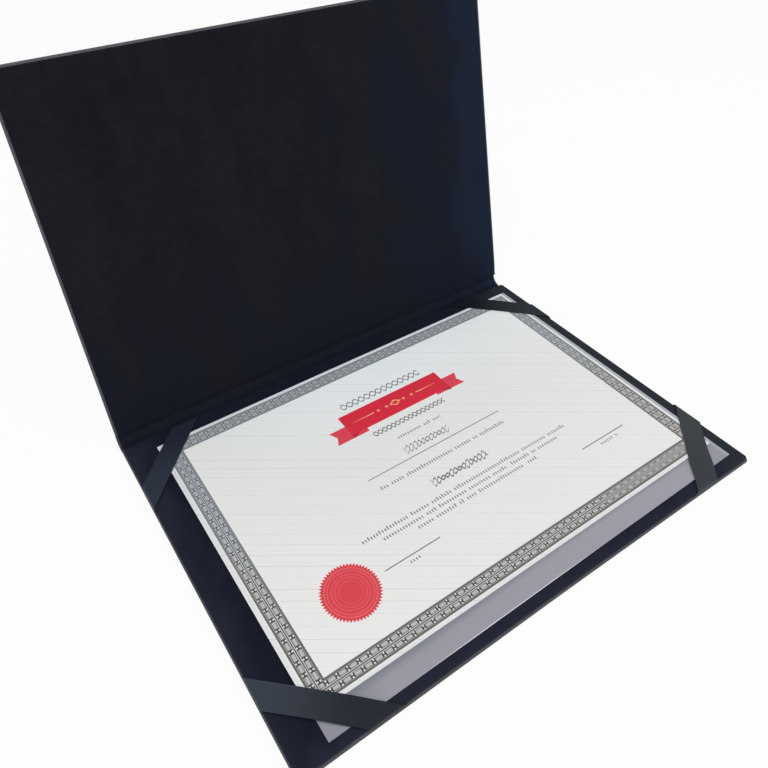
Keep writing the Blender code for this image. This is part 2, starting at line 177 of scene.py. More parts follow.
class Paint:
    """The node tree of a material or a world, under construction."""

    def __init__(self, name: str, owner: Owner = Owner.MATERIAL) -> None:
        """Start an empty tree.

        Args:
            name: The name of the material or the world.
            owner: Which of them it is.
        """
        self.owner = getattr(bpy.data, owner.value).new(name)
        self.owner.use_nodes = True
        self.tree = self.owner.node_tree
        self.tree.nodes.clear()

    def node(self, kind: str, inputs: dict | None = None, **settings: object) -> bpy.types.Node:
        """Add one node.

        Args:
            kind: The node's type.
            inputs: Values or wires by socket name or number.
            settings: Its own properties, set before its sockets.

        Returns:
            The node.
        """
        node = self.tree.nodes.new(kind)
        for key, value in settings.items():
            setattr(node, key, value)
        for key, value in (inputs or {}).items():
            self.feed(node.inputs[key], value)
        return node

    def wire(
        self, kind: str, inputs: dict | None = None, output: str | int = 0, **settings: object
    ) -> Wire:
        """Add one node as the method node does, and take one of its outputs."""
        return Wire(self, self.node(kind, inputs, **settings).outputs[output])

    def feed(self, socket: bpy.types.NodeSocket, value: Amount | Tone) -> None:
        """Link a wire to a socket, or set the socket's own number or colour.

        Args:
            socket: The socket.
            value: A wire, a number or a colour.
        """
        if isinstance(value, Wire):
            self.tree.links.new(value.socket, socket)
        elif isinstance(value, tuple) and socket.type == "RGBA":
            socket.default_value = (*value, 1.0)
        else:
            socket.default_value = value

    def math(self, operation: str, *values: Amount) -> Wire:
        """One Math node on one or two values."""
        return self.wire("ShaderNodeMath", dict(enumerate(values)), operation=operation)

    def mix(self, share: Amount, first: Tone, second: Tone) -> Wire:
        """A colour that goes from the first to the second as share goes from 0 to 1."""
        return self.wire("ShaderNodeMix", {0: share, 6: first, 7: second}, 2, data_type="RGBA")

    def layered(self, under: Tone, *layers: tuple[Amount, Tone]) -> Tone:
        """Lay colours over one another.

        Args:
            under: The colour at the bottom.
            layers: The share of each layer, from 0 to 1, and its colour, from the bottom up.

        Returns:
            The colour on top.
        """
        for share, tone in layers:
            under = self.mix(share, under, tone)
        return under

    def scaled(self, place: Wire, by: Point) -> Wire:
        """A place with each of its axes multiplied."""
        return self.wire("ShaderNodeVectorMath", {0: place, 1: by}, operation="MULTIPLY")

    def axes(self, place: Wire) -> tuple[Wire, Wire, Wire]:
        """The three parts of a place."""
        outputs = self.node("ShaderNodeSeparateXYZ", {0: place}).outputs
        return tuple(Wire(self, output) for output in outputs)

    def point(self, x: Amount, y: Amount, z: Amount = 0.0) -> Wire:
        """A place from its three parts."""
        return self.wire("ShaderNodeCombineXYZ", {0: x, 1: y, 2: z})

    def object_mm(self) -> Wire:
        """Places in the object, in millimetres."""
        return self.scaled(self.wire("ShaderNodeTexCoord", output="Object"), (1 / MM,) * 3)

    def flat_mm(self) -> Wire:
        """Places in the cloth's flat layout, in millimetres."""
        return self.wire("ShaderNodeAttribute", output="Vector", attribute_name=FLAT_PLACE)

    def noise(self, place: Wire, size: float, detail: float = 2.0, roughness: float = 0.5) -> Wire:
        """Soft noise from 0 to 1 whose patches are about size across."""
        inputs = {"Vector": place, "Scale": 1 / size, "Detail": detail, "Roughness": roughness}
        return self.wire("ShaderNodeTexNoise", inputs, "Fac")

    def chance(self, value: Wire, seed: float) -> Wire:
        """A random number from 0 to 1 for each whole value."""
        inputs = {"Vector": self.point(value, seed)}
        return self.wire("ShaderNodeTexWhiteNoise", inputs, "Value", noise_dimensions="2D")

    def bump(self, height: Wire, depth: float, strength: float, under: Wire | None = None) -> Wire:
        """A normal from a height of 0 to 1 over a depth in metres, on top of another normal."""
        inputs = {"Height": height, "Distance": depth, "Strength": strength}
        return self.wire("ShaderNodeBump", inputs | ({"Normal": under} if under else {}))

    def finish(
        self, colour: Tone, roughness: Amount, **sockets: Amount | Tone
    ) -> bpy.types.Material:
        """Close the material with a Principled shader.

        Args:
            colour: Its base colour.
            roughness: Its roughness.
            sockets: Its other sockets, by name with _ for each space.

        Returns:
            The finished material.
        """
        inputs = {"Base Color": colour, "Roughness": roughness}
        inputs |= {name.replace("_", " "): value for name, value in sockets.items()}
        shader = self.wire("ShaderNodeBsdfPrincipled", inputs)
        self.node("ShaderNodeOutputMaterial", {"Surface": shader})
        return self.owner


@dataclass(frozen=True)
class PaintedSheen:
    """A painted sheen: a lighter, bluer band of colour inside a rectangle's edges, stronger to one
    side.
    """

    colour: Colour
    middle: tuple[float, float]
    half: tuple[float, float]
    reach: float
    shares: tuple[float, float]

    def layer(self, x: Wire, y: Wire, lie: Wire) -> tuple[Wire, Colour]:
        """The painted sheen band as a layer of paint.

        Args:
            x: The place along the spine.
            y: The place across it.
            lie: How the nap lies, from 0 to 1, which makes the band uneven.

        Returns:
            Its share and its colour.
        """
        to_sides = self.half[0] - abs(x - self.middle[0])
        inside = to_sides.least(self.half[1] - abs(y - self.middle[1]))
        uneven = inside + (lie - 0.5) * (self.reach * 0.7)
        return uneven.ramp(self.reach, 0.0) * x.ramp(-130.0, 130.0, *self.shares), self.colour


@dataclass(frozen=True)
class Velvet:
    """Short-pile velvet, mottled where its nap lies differently, with painted sheen bands inside
    its edges.
    """

    name: str
    deep: Colour
    pale: Colour
    painted_sheens: tuple[PaintedSheen, ...]
    lie_size: float = 34.0
    patch_size: float = 6.5
    pile_size: float = 0.42
    sheen: Colour = srgb(150, 160, 190)

    def material(self) -> bpy.types.Material:
        """Mix the velvet.

        Returns:
            Its material.
        """
        paint = Paint(self.name)
        place = paint.flat_mm()
        x, y, _ = paint.axes(place)
        brushed = paint.scaled(place, (1.0, 0.45, 1.0))
        lie = paint.noise(brushed, self.lie_size, 3.0, 0.55).ramp(0.34, 0.68)
        patches = paint.noise(place, self.patch_size, 3.0, 0.6).ramp(0.3, 0.72)
        pile = paint.noise(place, self.pile_size, 2.0, 0.6)
        tone = paint.layered(
            self.deep,
            (lie * 0.6 + patches * 0.4, self.pale),
            # Painted sheen: lighter, bluer bands inside the velvet's edges.
            *[rim.layer(x, y, lie) for rim in self.painted_sheens],
            (pile.ramp(0.62, 0.3) * 0.35, dimmed(self.deep, 0.62)),
        )
        return paint.finish(
            tone,
            0.93,
            Normal=paint.bump(patches, 0.0005, 0.22, paint.bump(pile, 0.00016, 0.55)),
            Specular_IOR_Level=0.05,
            Sheen_Weight=0.1,
            Sheen_Roughness=0.42,
            Sheen_Tint=self.sheen,
        )


@dataclass(frozen=True)
class CoverGrain:
    """Charcoal book cloth with a fine pressed grain, and a painted highlight along the top of its
    edges, where it folds over.
    """

    name: str = "charcoal_cover"
    deep: Colour = srgb(42, 45, 49)
    pale: Colour = srgb(57, 60, 65)
    painted_edge_highlight: Colour = srgb(94, 97, 100)
    pebble_size: float = 0.9
    fibre_size: float = 0.35
    wear_size: float = 24.0
    painted_highlight_heights: tuple[float, float] = (1.9, 2.15)

    def material(self) -> bpy.types.Material:
        """Mix the cover cloth.

        Returns:
            Its material.
        """
        paint = Paint(self.name)
        place = paint.flat_mm()
        _, _, height = paint.axes(place)
        pebbles = paint.wire(
            "ShaderNodeTexVoronoi",
            {"Vector": place, "Scale": 1 / self.pebble_size, "Randomness": 0.9},
            "Distance",
            feature="DISTANCE_TO_EDGE",
        )
        grain = pebbles.ramp(0.02, 0.28)
        fibre = paint.noise(place, self.fibre_size, 3.0, 0.6)
        wear = paint.noise(place, self.wear_size, 4.0, 0.6).ramp(0.42, 0.78)
        tone = paint.layered(
            self.deep,
            (grain * 0.45 + wear * 0.35, self.pale),
            (fibre.ramp(0.65, 0.35) * 0.25, dimmed(self.deep, 0.6)),
            # Painted highlight along the top of the cloth's edges, made uneven by the wear patches.
            (height.ramp(*self.painted_highlight_heights) * (wear * 0.3 + 0.4), self.painted_edge_highlight),
        )
        normal = paint.bump(fibre, 0.00008, 0.35, paint.bump(grain, 0.00022, 0.5))
        rough = wear * 0.08 + (0.56 - grain * 0.06)
        return paint.finish(tone, rough, Normal=normal, Specular_IOR_Level=0.4)


@dataclass(frozen=True)
class RibbonSatin:
    """Satin ribbon with fine cross ribs, a corded selvedge along each side, a sheen, and painted
    light and shade.

    Its colour goes from a lit tone at the panel's side edge to a shaded tone at its front or back
    edge: painted light and shade along its sheen.
    """

    name: str
    half_width: float
    lit_side_tone: Colour
    shaded_end_tone: Colour
    shine: float
    shade: Colour = srgb(24, 27, 33)
    sheen: Colour = srgb(190, 200, 210)
    rib_pitch: float = 0.62
    turn_reach: float = 24.0

    def material(self) -> bpy.types.Material:
        """Mix the ribbon's satin.

        Returns:
            Its material.
        """
        paint = Paint(self.name)
        along, across, _ = paint.axes(paint.flat_mm())
        rib = along.apart(self.rib_pitch) * (2 / self.rib_pitch)
        thread = paint.noise(paint.point(along * 0.35, across * 5.0), 1.0)
        selvedge = abs(across).ramp(self.half_width - 0.75, self.half_width - 0.45)
        cloudy = paint.noise(paint.point(along, across), 9.0)
        # Painted shade in the ribs' grooves, between the threads and in soft patches.
        light = rib * 0.35 + thread * 0.3 + cloudy * 0.35
        tone = paint.layered(
            self.lit_side_tone,
            (along.ramp(-self.turn_reach, self.turn_reach), self.shaded_end_tone),
            ((1.0 - light) * (1.0 - selvedge) * 0.4, self.shade),
        )
        height = rib * (1.0 - selvedge) + selvedge * 0.9
        return paint.finish(
            tone,
            selvedge * 0.1 + 0.45,
            Normal=paint.bump(thread, 0.00004, 0.4, paint.bump(height, 0.00009, 0.6)),
            Specular_IOR_Level=self.shine,
            Sheen_Weight=self.shine * 0.3,
            Sheen_Roughness=0.35,
            Sheen_Tint=self.sheen,
        )


@dataclass(frozen=True)
class PearlCard:
    """Pearly lavender card, white at its own cut edge, with painted light and shade: lighter to the
    right and beyond the certificate's right edge, with painted shadows beside the certificate's
    front and past the ribbons.
    """

    name: str = "pearl_card"
    deep: Colour = srgb(138, 136, 145)
    pale: Colour = srgb(158, 155, 164)
    shaded: Colour = srgb(106, 110, 122)
    cut: Colour = srgb(240, 238, 244)
    painted_light_strip: Colour = srgb(172, 170, 179)
    certificate_front: float = -94.4
    certificate_right: float = 151.2
    front_edge: float = -107.9
    length: float = 297.0
    cut_short: float = 0.8

    def material(self) -> bpy.types.Material:
        """Mix the card.

        Returns:
            Its material.
        """
        paint = Paint(self.name)
        place = paint.object_mm()
        x, y, _ = paint.axes(place)
        flakes = paint.noise(place, 0.3, 2.0, 0.7)
        cloudy = paint.noise(place, 18.0, 3.0)
        streaks = paint.noise(paint.scaled(place, (0.08, 1.0, 1.0)), 2.6)
        # Painted light: the card grows lighter to the right, under its random mottle.
        mottle_and_painted_light = x.ramp(-150.0, 150.0) * 0.55 + cloudy * 0.2 + streaks * 0.2 + flakes * 0.05
        # Painted shadow of the certificate's front edge, wider at the left.
        reach = x.ramp(-120.0, 40.0, 6.5, 3.2)
        beside = ((y - self.certificate_front) / reach + 1.0).ramp(0.1, 1.0)
        shade = x.ramp(-120.0, 40.0, 0.85, 0.45) + (streaks - 0.5) * 0.5
        # Painted shadow of the ribbons over the card's corners.
        past_ribbon = abs(x - 5.0).ramp(112.0, 126.0) * y.ramp(-88.0, -98.0)
        from_edge = y - self.front_edge - (x / self.length + 0.48) * self.cut_short
        bright = abs(x + 28.0).ramp(75.0, 25.0) * 0.7
        tone = paint.layered(
            self.deep,
            (mottle_and_painted_light, self.pale),
            # Painted light: a lighter strip of card right of the certificate.
            (x.ramp(self.certificate_right - 0.2, self.certificate_right), self.painted_light_strip),
            (beside * shade * x.ramp(150.5, 149.5), self.shaded),
            (past_ribbon * x.ramp(-100.0, 100.0, 0.37, 0.26), self.shaded),
            (from_edge.ramp(0.45, 0.3) * bright, self.cut),
        )
        normal, rough = paint.bump(flakes, 0.00003, 0.35), flakes * 0.12 + 0.38
        return paint.finish(tone, rough, Normal=normal, Metallic=0.12, Coat_Weight=0.06)


@dataclass(frozen=True)
class Greyboard:
    """Recycled greyboard, fibrous and flecked."""

    name: str = "greyboard_fibre"
    deep: Colour = srgb(122, 116, 108)
    pale: Colour = srgb(156, 150, 141)
    fleck: Colour = srgb(84, 78, 70)

    def material(self) -> bpy.types.Material:
        """Mix the board.

        Returns:
            Its material.
        """
        paint = Paint(self.name)
        place = paint.object_mm()
        fibre = paint.noise(paint.scaled(place, (0.35, 1.0, 1.6)), 0.7, 4.0, 0.65)
        cloudy = paint.noise(place, 11.0)
        flecks = paint.noise(place, 0.9, 1.0).ramp(0.7, 0.76)
        layers = (fibre * 0.6 + cloudy * 0.4, self.pale), (flecks * 0.6, self.fleck)
        tone = paint.layered(self.deep, *layers)
        return paint.finish(tone, 0.92, Normal=paint.bump(fibre, 0.00012, 0.5))


@dataclass(frozen=True)
class Row:
    """One printed row: where it runs and how tall it stands, in millimetres."""

    left: float
    right: float
    middle: float
    height: float


@dataclass(frozen=True)
class Page:
    """What the printed layers are drawn with: the paint, and places in mm on the certificate."""

    paint: Paint
    x: Wire
    y: Wire


@dataclass(frozen=True)
class CertificatePrint:
    """Smooth white paper with a chain border, a red banner, a red seal and rows of grey marks.

    Every place is in millimetres on the certificate, counted from zero in the folder. The rows
    hold generic marks only.
    """

    name: str = "printed_certificate"
    near_white: Colour = srgb(237, 236, 233)
    far_white_painted_light: Colour = srgb(244, 250, 251)
    ink: Colour = srgb(88, 91, 97)
    red: Colour = srgb(220, 38, 60)
    tail_red: Colour = srgb(226, 66, 84)
    fold_red: Colour = srgb(176, 30, 48)
    pale_gold: Colour = srgb(246, 178, 132)
    seal_red: Colour = srgb(217, 58, 70)
    seal_ring: Colour = srgb(236, 120, 122)
    zero: tuple[float, float] = (-0.5, -1.0)
    cut_short: float = 0.0
    border_middle: tuple[float, float] = (5.0, 4.825)
    border_half: tuple[float, float] = (134.9, 86.125)
    border_width: float = 9.8
    cells: tuple[float, float] = (6.143, 6.646)
    cell_print: float = 6.3
    banner_middle: tuple[float, float] = (6.3, 49.75)
    seal_place: tuple[float, float] = (-95.0, -51.2)
    seal_radius: float = 17.2
    seal_teeth: int = 56
    ring_radii: tuple[float, ...] = (14.2, 12.6, 10.4, 8.7, 6.5)
    ring_shares: tuple[float, ...] = (0.65, 0.45, 0.4, 0.35, 0.25)
    chains: tuple[Row, ...] = (Row(-27.6, 37.6, 65.4, 5.4), Row(-22.6, 35.4, 33.2, 4.0))
    marks: tuple[Row, ...] = (
        Row(-11.0, 23.6, 22.4, 2.0),
        Row(-44.4, 55.6, -5.2, 2.3),
        Row(-74.2, 85.0, -30.0, 2.1),
        Row(-62.6, 74.4, -34.8, 2.1),
        Row(-41.6, 51.6, -39.6, 2.1),
        Row(-59.0, -51.6, -54.8, 1.8),
        Row(93.0, 109.0, -54.8, 1.8),
    )
    flourishes: tuple[Row, ...] = (Row(-13.4, 21.4, 11.0, 6.0), Row(-15.0, 27.6, -19.4, 5.6))
    rules: tuple[Row, ...] = (
        Row(-46.6, 58.6, 4.2, 0.62),
        Row(-73.0, -35.2, -51.4, 0.7),
        Row(80.0, 117.8, -51.4, 0.7),
    )
    mark_pitch: float = 1.9
    knot_length: float = 6.4
    hairline_pitch: float = 6.8

    def border(self, page: Page) -> Layers:
        """Draw a band of two rows of linked cells between two hatched lines, with painted bluish
        light over it and painted shade on the margin outside it.

        Args:
            page: What it is drawn with.

        Returns:
            Its layers.
        """
        dx, dy = page.x - self.border_middle[0], page.y - self.border_middle[1]
        past_x, past_y = abs(dx) - self.border_half[0], abs(dy) - self.border_half[1]
        out = past_x.most(past_y)
        by_x, by_y = dx / self.cells[0], dy / self.cells[1]
        along = by_x + (past_x > past_y) * (by_y - by_x)
        link = along.apart(1.0) * self.cell_print
        from_middle = abs(out - self.border_width / 2)
        row = abs(from_middle - 2.12)
        band = out.within(0.0, self.border_width)
        cell = (1.15 - link).most(row - 1.05)
        legs = link.within(0.5, 1.1).least(row.ramp(1.5, 1.3))
        bar = row.ramp(0.36, 0.2).least(link.ramp(0.95, 0.75))
        light = srgb(196, 195, 191)
        hatch = (along * self.cell_print).apart(0.85).ramp(0.12, 0.3)
        hatched = page.paint.mix(hatch, srgb(84, 84, 82), light)
        frame_lines = from_middle.within(3.85, 4.55) * page.y.ramp(-80.0, 70.0, 0.95, 0.6)
        # Painted light: a bluish tint over the border, growing towards the back.
        painted_bluish_light = (page.y.ramp(-70.0, 70.0) * 0.26 + 0.01).least(band)
        # Painted shade: a bluish grey over the margin outside the border, stronger at the back.
        painted_margin_shade = out.ramp(10.2, 10.6) * page.y.ramp(20.0, 80.0, 0.1, 0.22)
        return (
            (band, srgb(150, 149, 145)),
            (cell.ramp(0.26, 0.1).least(band), srgb(98, 98, 95)),
            (cell.ramp(-0.1, -0.26), light),
            (row.within(0.3, 0.55).least(cell.ramp(-0.3, -0.4)), srgb(158, 157, 153)),
            (row.within(0.46, 1.25).least(link.ramp(0.55, 0.4)), srgb(222, 221, 217)),
            (legs.most(bar), srgb(40, 40, 39)),
            (from_middle.ramp(4.45, 4.55).least(band), hatched),
            (frame_lines, srgb(66, 66, 64)),
            (from_middle.within(0.25, 0.75), light),
            (from_middle.ramp(0.36, 0.2), srgb(56, 56, 55)),
            (painted_bluish_light, srgb(150, 166, 188)),
            (painted_margin_shade, srgb(140, 144, 172)),
        )

    def banner(self, page: Page) -> Layers:
        """Draw a red ribbon banner with notched tails and an ornament of lozenges and rules.

        Args:
            page: What it is drawn with.

        Returns:
            Its layers.
        """
        x, y = page.x, page.y
        across, up = abs(x - self.banner_middle[0]), abs(y - self.banner_middle[1])
        left = (x + abs(y - 44.0) * 0.5).ramp(-43.55, -43.35).least(x.ramp(-22.4, -22.6))
        right = (x - abs(y - 44.6) * 0.5).ramp(56.05, 55.85).least(x.ramp(34.9, 35.1))
        tails = left.least(y.within(38.0, 49.8)).most(right.least(y.within(39.0, 50.3)))
        folds = across.within(28.8, 40.5).least((across + y * 1.9).ramp(111.9, 112.2))
        main = x.within(-34.2, 46.8).least(y.within(40.7, 58.8))
        lozenge = across * 0.62 + up
        hollow = lozenge.ramp(3.0, 2.8).least(lozenge.ramp(1.6, 1.8))
        small = (abs(abs(across - 10.4) - 3.4) + up * 1.2).ramp(1.5, 1.3)
        rule = (up + across * 0.026).ramp(1.02, 0.9).least(across.within(17.5, 35.0))
        return (
            (tails, self.tail_red),
            (folds.least(y.within(38.3, 41.0)), self.fold_red),
            (main, self.red),
            (hollow.most(small).most(rule) * 0.9, self.pale_gold),
        )

    def seal(self, page: Page) -> Layers:
        """Draw a round red seal with a toothed rim and paler rings that fade inwards.

        Args:
            page: What it is drawn with.

        Returns:
            Its layers.
        """
        paint, teeth = page.paint, self.seal_teeth
        dx, dy = page.x - self.seal_place[0], page.y - self.seal_place[1]
        reach = paint.math("SQRT", dx * dx + dy * dy)
        tooth = paint.math("ARCTAN2", dy, dx).apart(math.tau / teeth) * (teeth / math.pi)
        disc = (reach + tooth * 1.6).ramp(self.seal_radius + 0.1, self.seal_radius - 0.1)
        sizes = zip(self.ring_radii, self.ring_shares)
        rings = [abs(reach - ring).ramp(0.42, 0.16) * share for ring, share in sizes]
        return (disc, self.seal_red), (reduce(Wire.most, rings), self.seal_ring)

    def drawn_rows(self, page: Page) -> Layers:
        """Draw grey rows of generic marks: chains, groups of strokes, flourishes and rules.

        Args:
            page: What they are drawn with.

        Returns:
            One layer.
        """
        paint, x, y, shapes = page.paint, page.x, page.y, []
        for row in self.chains:
            wave = paint.math("SINE", (x - row.left) * (math.tau / (row.height * 1.75)))
            near = abs(abs(y - row.middle) - abs(wave) * (row.height * 0.42)).ramp(0.7, 0.35)
            shapes.append(near.least(x.within(row.left, row.right)) * 0.9)
        place = paint.math("FLOOR", x / self.mark_pitch)
        stroke = (x - self.mark_pitch / 2).apart(self.mark_pitch).ramp(0.5, 0.3)
        for number, row in enumerate(self.marks):
            tall, group = (paint.chance(place, number + seed) for seed in (0.5, 20.5))
            rise = y - (row.middle - row.height / 2)
            top = tall.ramp(0.75, 0.9) * (row.height * 0.4) + row.height * 0.9
            inside = rise.ramp(-0.1, 0.15).least((top - rise).ramp(-0.1, 0.15))
            shape = stroke.least(inside).least(group > 0.12)
            shapes.append(shape.least(x.within(row.left, row.right)) * 0.9)
        for number, row in enumerate(self.flourishes):
            lean = x - (y - row.middle) * 0.45
            swell = paint.noise(paint.point(lean, number * 7 + 3.0), 6.0, 1.0)
            tall = swell.ramp(0.35, 0.65, 0.22, 0.5) * row.height
            wave = paint.math("SINE", (lean - row.left) * (math.tau / self.knot_length))
            near = abs(abs(y - row.middle) - abs(wave) * tall).ramp(0.6 + number * 0.25, 0.3)
            shapes.append(near.least(x.within(row.left, row.right, 1.5)) * 0.95)
        for row in self.rules:
            line = y.within(row.middle - row.height / 2, row.middle + row.height / 2)
            shapes.append(line.least(x.within(row.left, row.right)) * 0.9)
        return ((reduce(Wire.most, shapes), self.ink),)

    def hairlines(self, page: Page) -> Layers:
        """Draw fine slanting lines over the whole sheet, each with its own strength.

        Args:
            page: What they are drawn with.

        Returns:
            One layer.
        """
        paint, pitch = page.paint, self.hairline_pitch
        slant = page.x * 0.559 + page.y * 0.829 - 1.28
        own = paint.chance(paint.math("FLOOR", slant / pitch + 0.5), 3.5) * 0.18 + 0.08
        fine = slant.apart(pitch).ramp(0.3, 0.1) * own
        faint = (slant - 3.15).apart(pitch).ramp(0.4, 0.15) * 0.03
        return ((fine.most(faint), srgb(128, 130, 128)),)

    def material(self) -> bpy.types.Material:
        """Mix the printed paper.

        Returns:
            Its material.
        """
        paint = Paint(self.name)
        place = paint.object_mm()
        x, y, _ = paint.axes(place)
        page = Page(paint, x - self.zero[0], y - self.zero[1])
        x, y = page.x, page.y
        # Painted light: the paper is painted brighter and bluer towards the back, less so at its
        # left and right ends.
        share = y.ramp(10.0, 100.0) * x.ramp(-170.0, -10.0) * x.ramp(50.0, 130.0, 1.0, 0.6)
        colour = paint.mix(share, self.near_white, self.far_white_painted_light)
        for drawn in (self.hairlines, self.border, self.banner, self.drawn_rows, self.seal):
            colour = paint.layered(colour, *drawn(page))
        fibre = paint.noise(place, 0.6, 3.0, 0.6)
        normal, rough = paint.bump(fibre, 0.00003, 0.3), fibre * 0.1 + 0.46
        return paint.finish(colour, rough, Normal=normal, Specular_IOR_Level=0.35)


class Half(Enum):
    """The two halves of the case, with the sign of Y from the hinge line to the board."""

    BASE = -1
    LID = 1


def smoothstep(share: Many) -> Many:
    """Ease a share, which is held between 0 and 1 first."""
    held = np.clip(share, 0.0, 1.0)
    return held * held * (3 - 2 * held)


def turned(points: np.ndarray, line: tuple[float, float], angle: Many) -> np.ndarray:
    """Turn points about a line along X.

    Args:
        points: Rows of x, y and z.
        line: The line's y and z.
        angle: One angle, or one for each point, in radians.

    Returns:
        The turned points.
    """
    y, z = points[:, 1] - line[0], points[:, 2] - line[1]
    cosine, sine = np.cos(angle), np.sin(angle)
    turned_y, turned_z = line[0] + cosine * y - sine * z, line[1] + sine * y + cosine * z
    return np.column_stack((points[:, 0], turned_y, turned_z))


@dataclass(frozen=True)
class Hinges:
    """The two hinge lines of the spine, as the folder lies flat and as it stands open."""

    near: tuple[float, float]
    spine: float
    turn: float
    into_spine: float = 5.0 * MM
    into_board: float = 0.4 * MM

    @classmethod
    def from_joints(cls, joints: Sequence[dict]) -> "Hinges":
        """Read the two hinge lines from the frame's joints.

        Args:
            joints: The frame's joints.

        Returns:
            The hinges.
        """
        places = {joint["name"]: joint["pos_m"] for joint in joints if joint["type"] == "hinge"}
        near, far = places["spine_hinge"], places["lid_hinge"]
        along, up = far[1] - near[1], far[2] - near[2]
        return cls((near[1], near[2]), math.hypot(along, up), math.atan2(up, along))

    def line(self, half: Half) -> tuple[float, float]:
        """A half's hinge line in the flat layout, as y and z."""
        return (self.near[0] + (self.spine if half is Half.LID else 0.0), self.near[1])

    def flat_y(self, half: Half, out: float) -> float:
        """The flat layout's y at a distance from a half's hinge line towards its board."""
        return self.line(half)[0] + half.value * out

    def bend(self, half: Half, points: np.ndarray) -> tuple[np.ndarray, Vector, Vector]:
        """Stand up what was drawn flat, round one hinge line.

        Each point turns by a share that depends on where it ends up, so the share is searched for.

        Args:
            half: The half whose hinge line the cloth crosses.
            points: Rows of x, y and z in the flat layout.

        Returns:
            The points as the folder stands, and where the bend starts and ends there.
        """
        line = self.line(half)
        reach = (self.into_board, self.into_spine)
        before, after = reach if half is Half.BASE else reach[::-1]
        ends = np.array(((0.0, line[0] - before, line[1]), (0.0, line[0] + after, line[1])))
        start, end = ends[0], turned(ends[1:], line, self.turn)[0]
        way = end - start

        def share(guess: np.ndarray) -> np.ndarray:
            """The share of the turn that each point has where a guessed share would put it."""
            placed = turned(points, line, guess * self.turn)
            return smoothstep((placed - start) @ way / (way @ way))

        low, high = np.zeros(len(points)), np.ones(len(points))
        still, full = share(low) <= 0.0, share(high) >= 1.0
        for _ in range(SEARCH_STEPS):
            middle = (low + high) / 2
            more = share(middle) > middle
            low, high = np.where(more, middle, low), np.where(more, high, middle)
        turns = np.where(full, 1.0, np.where(still, 0.0, (low + high) / 2))
        placed = turned(points, line, turns * self.turn)
        if half is Half.LID:
            placed = turned(placed, self.near, self.turn)
            start, end = turned(np.array((start, end)), self.near, self.turn)
        return placed, Vector(start), Vector(end)


HINGES = Hinges.from_joints(frame["joints"])


def places_of(obj: bpy.types.Object) -> np.ndarray:
    """Read where a mesh's vertices are.

    Args:
        obj: The object.

    Returns:
        Rows of x, y and z.
    """
    flat = np.empty(len(obj.data.vertices) * 3)
    obj.data.vertices.foreach_get("co", flat)
    return flat.reshape(-1, 3)


def place_all(obj: bpy.types.Object, points: np.ndarray) -> None:
    """Move the vertices of a mesh."""
    obj.data.vertices.foreach_set("co", points.ravel())
    obj.data.update()


def keep_flat_place(obj: bpy.types.Object, flat: np.ndarray) -> None:
    """Store each vertex's place in the flat layout, in millimetres, for the material."""
    attribute = obj.data.attributes.new(FLAT_PLACE, "FLOAT_VECTOR", "POINT")
    attribute.data.foreach_set("vector", flat.ravel())


def select_only(obj: bpy.types.Object) -> None:
    """Make one object the only one selected, and the active one.

    Args:
        obj: The object.
    """
    bpy.ops.object.select_all(action="DESELECT")
    obj.select_set(True)
    bpy.context.view_layer.objects.active = obj


@contextmanager
def editing(obj: bpy.types.Object) -> Iterator[None]:
    """Work on an object's mesh in edit mode, with all of it selected at first.

    Args:
        obj: The object.

    Yields:
        Nothing, while edit mode is on.
    """
    select_only(obj)
    bpy.ops.object.mode_set(mode="EDIT")
    bpy.ops.mesh.select_all(action="SELECT")
    yield
    bpy.ops.object.mode_set(mode="OBJECT")


def pick_edges(obj: bpy.types.Object, wanted: Callable[[Vector], bool]) -> None:
    """In edit mode, select only the edges both of whose ends are wanted.

    Args:
        obj: The object.
        wanted: Whether an end at a place is wanted.
    """
    bpy.ops.mesh.select_all(action="DESELECT")
    bpy.ops.mesh.select_mode(type="EDGE")
    shape = bmesh.from_edit_mesh(obj.data)
    for edge in shape.edges:
        edge.select_set(all(wanted(end.co) for end in edge.verts))
    shape.select_flush_mode()
    bmesh.update_edit_mesh(obj.data)


def point_up(obj: bpy.types.Object, upwards: bool = True) -> None:
    """Give an open sheet one side, so that its largest face points up, or else down.

    Args:
        obj: The sheet.
        upwards: Whether it points up.
    """
    with editing(obj):
        bpy.ops.mesh.normals_make_consistent(inside=False)
    largest = max(obj.data.polygons, key=lambda face: face.area)
    if (largest.normal.z > 0) != upwards:
        with editing(obj):
            bpy.ops.mesh.flip_normals()


def apply_modifier(obj: bpy.types.Object, kind: str, **settings: object) -> None:
    """Add a modifier and apply it.

    Args:
        obj: The object.
        kind: The modifier's type.
        settings: Its properties.
    """
    select_only(obj)
    modifier = obj.modifiers.new(kind.lower(), kind)
    for key, value in settings.items():
        setattr(modifier, key, value)
    bpy.ops.object.modifier_apply(modifier=modifier.name)


def thicken(obj: bpy.types.Object, thickness: float, offset: float, edge: float = 0.0) -> None:
    """Give an open sheet its thickness, and soften its cut edges.

    Args:
        obj: The sheet.
        thickness: How thick it becomes.
        offset: Where the sheet lies in that thickness: -1 outside, 0 in the middle.
        edge: The width of the softening along its cut edges.
    """
    apply_modifier(obj, "SOLIDIFY", thickness=thickness, offset=offset, use_even_offset=True)
    if edge > 0:
        sharp = {"limit_method": "ANGLE", "angle_limit": BEVEL_ANGLE}
        apply_modifier(obj, "BEVEL", width=edge, segments=2, **sharp)
    smooth(obj)


def smooth(obj: bpy.types.Object) -> None:
    """Shade an object smooth, but for its sharp edges."""
    select_only(obj)
    bpy.ops.object.shade_smooth_by_angle(angle=SMOOTH_ANGLE)


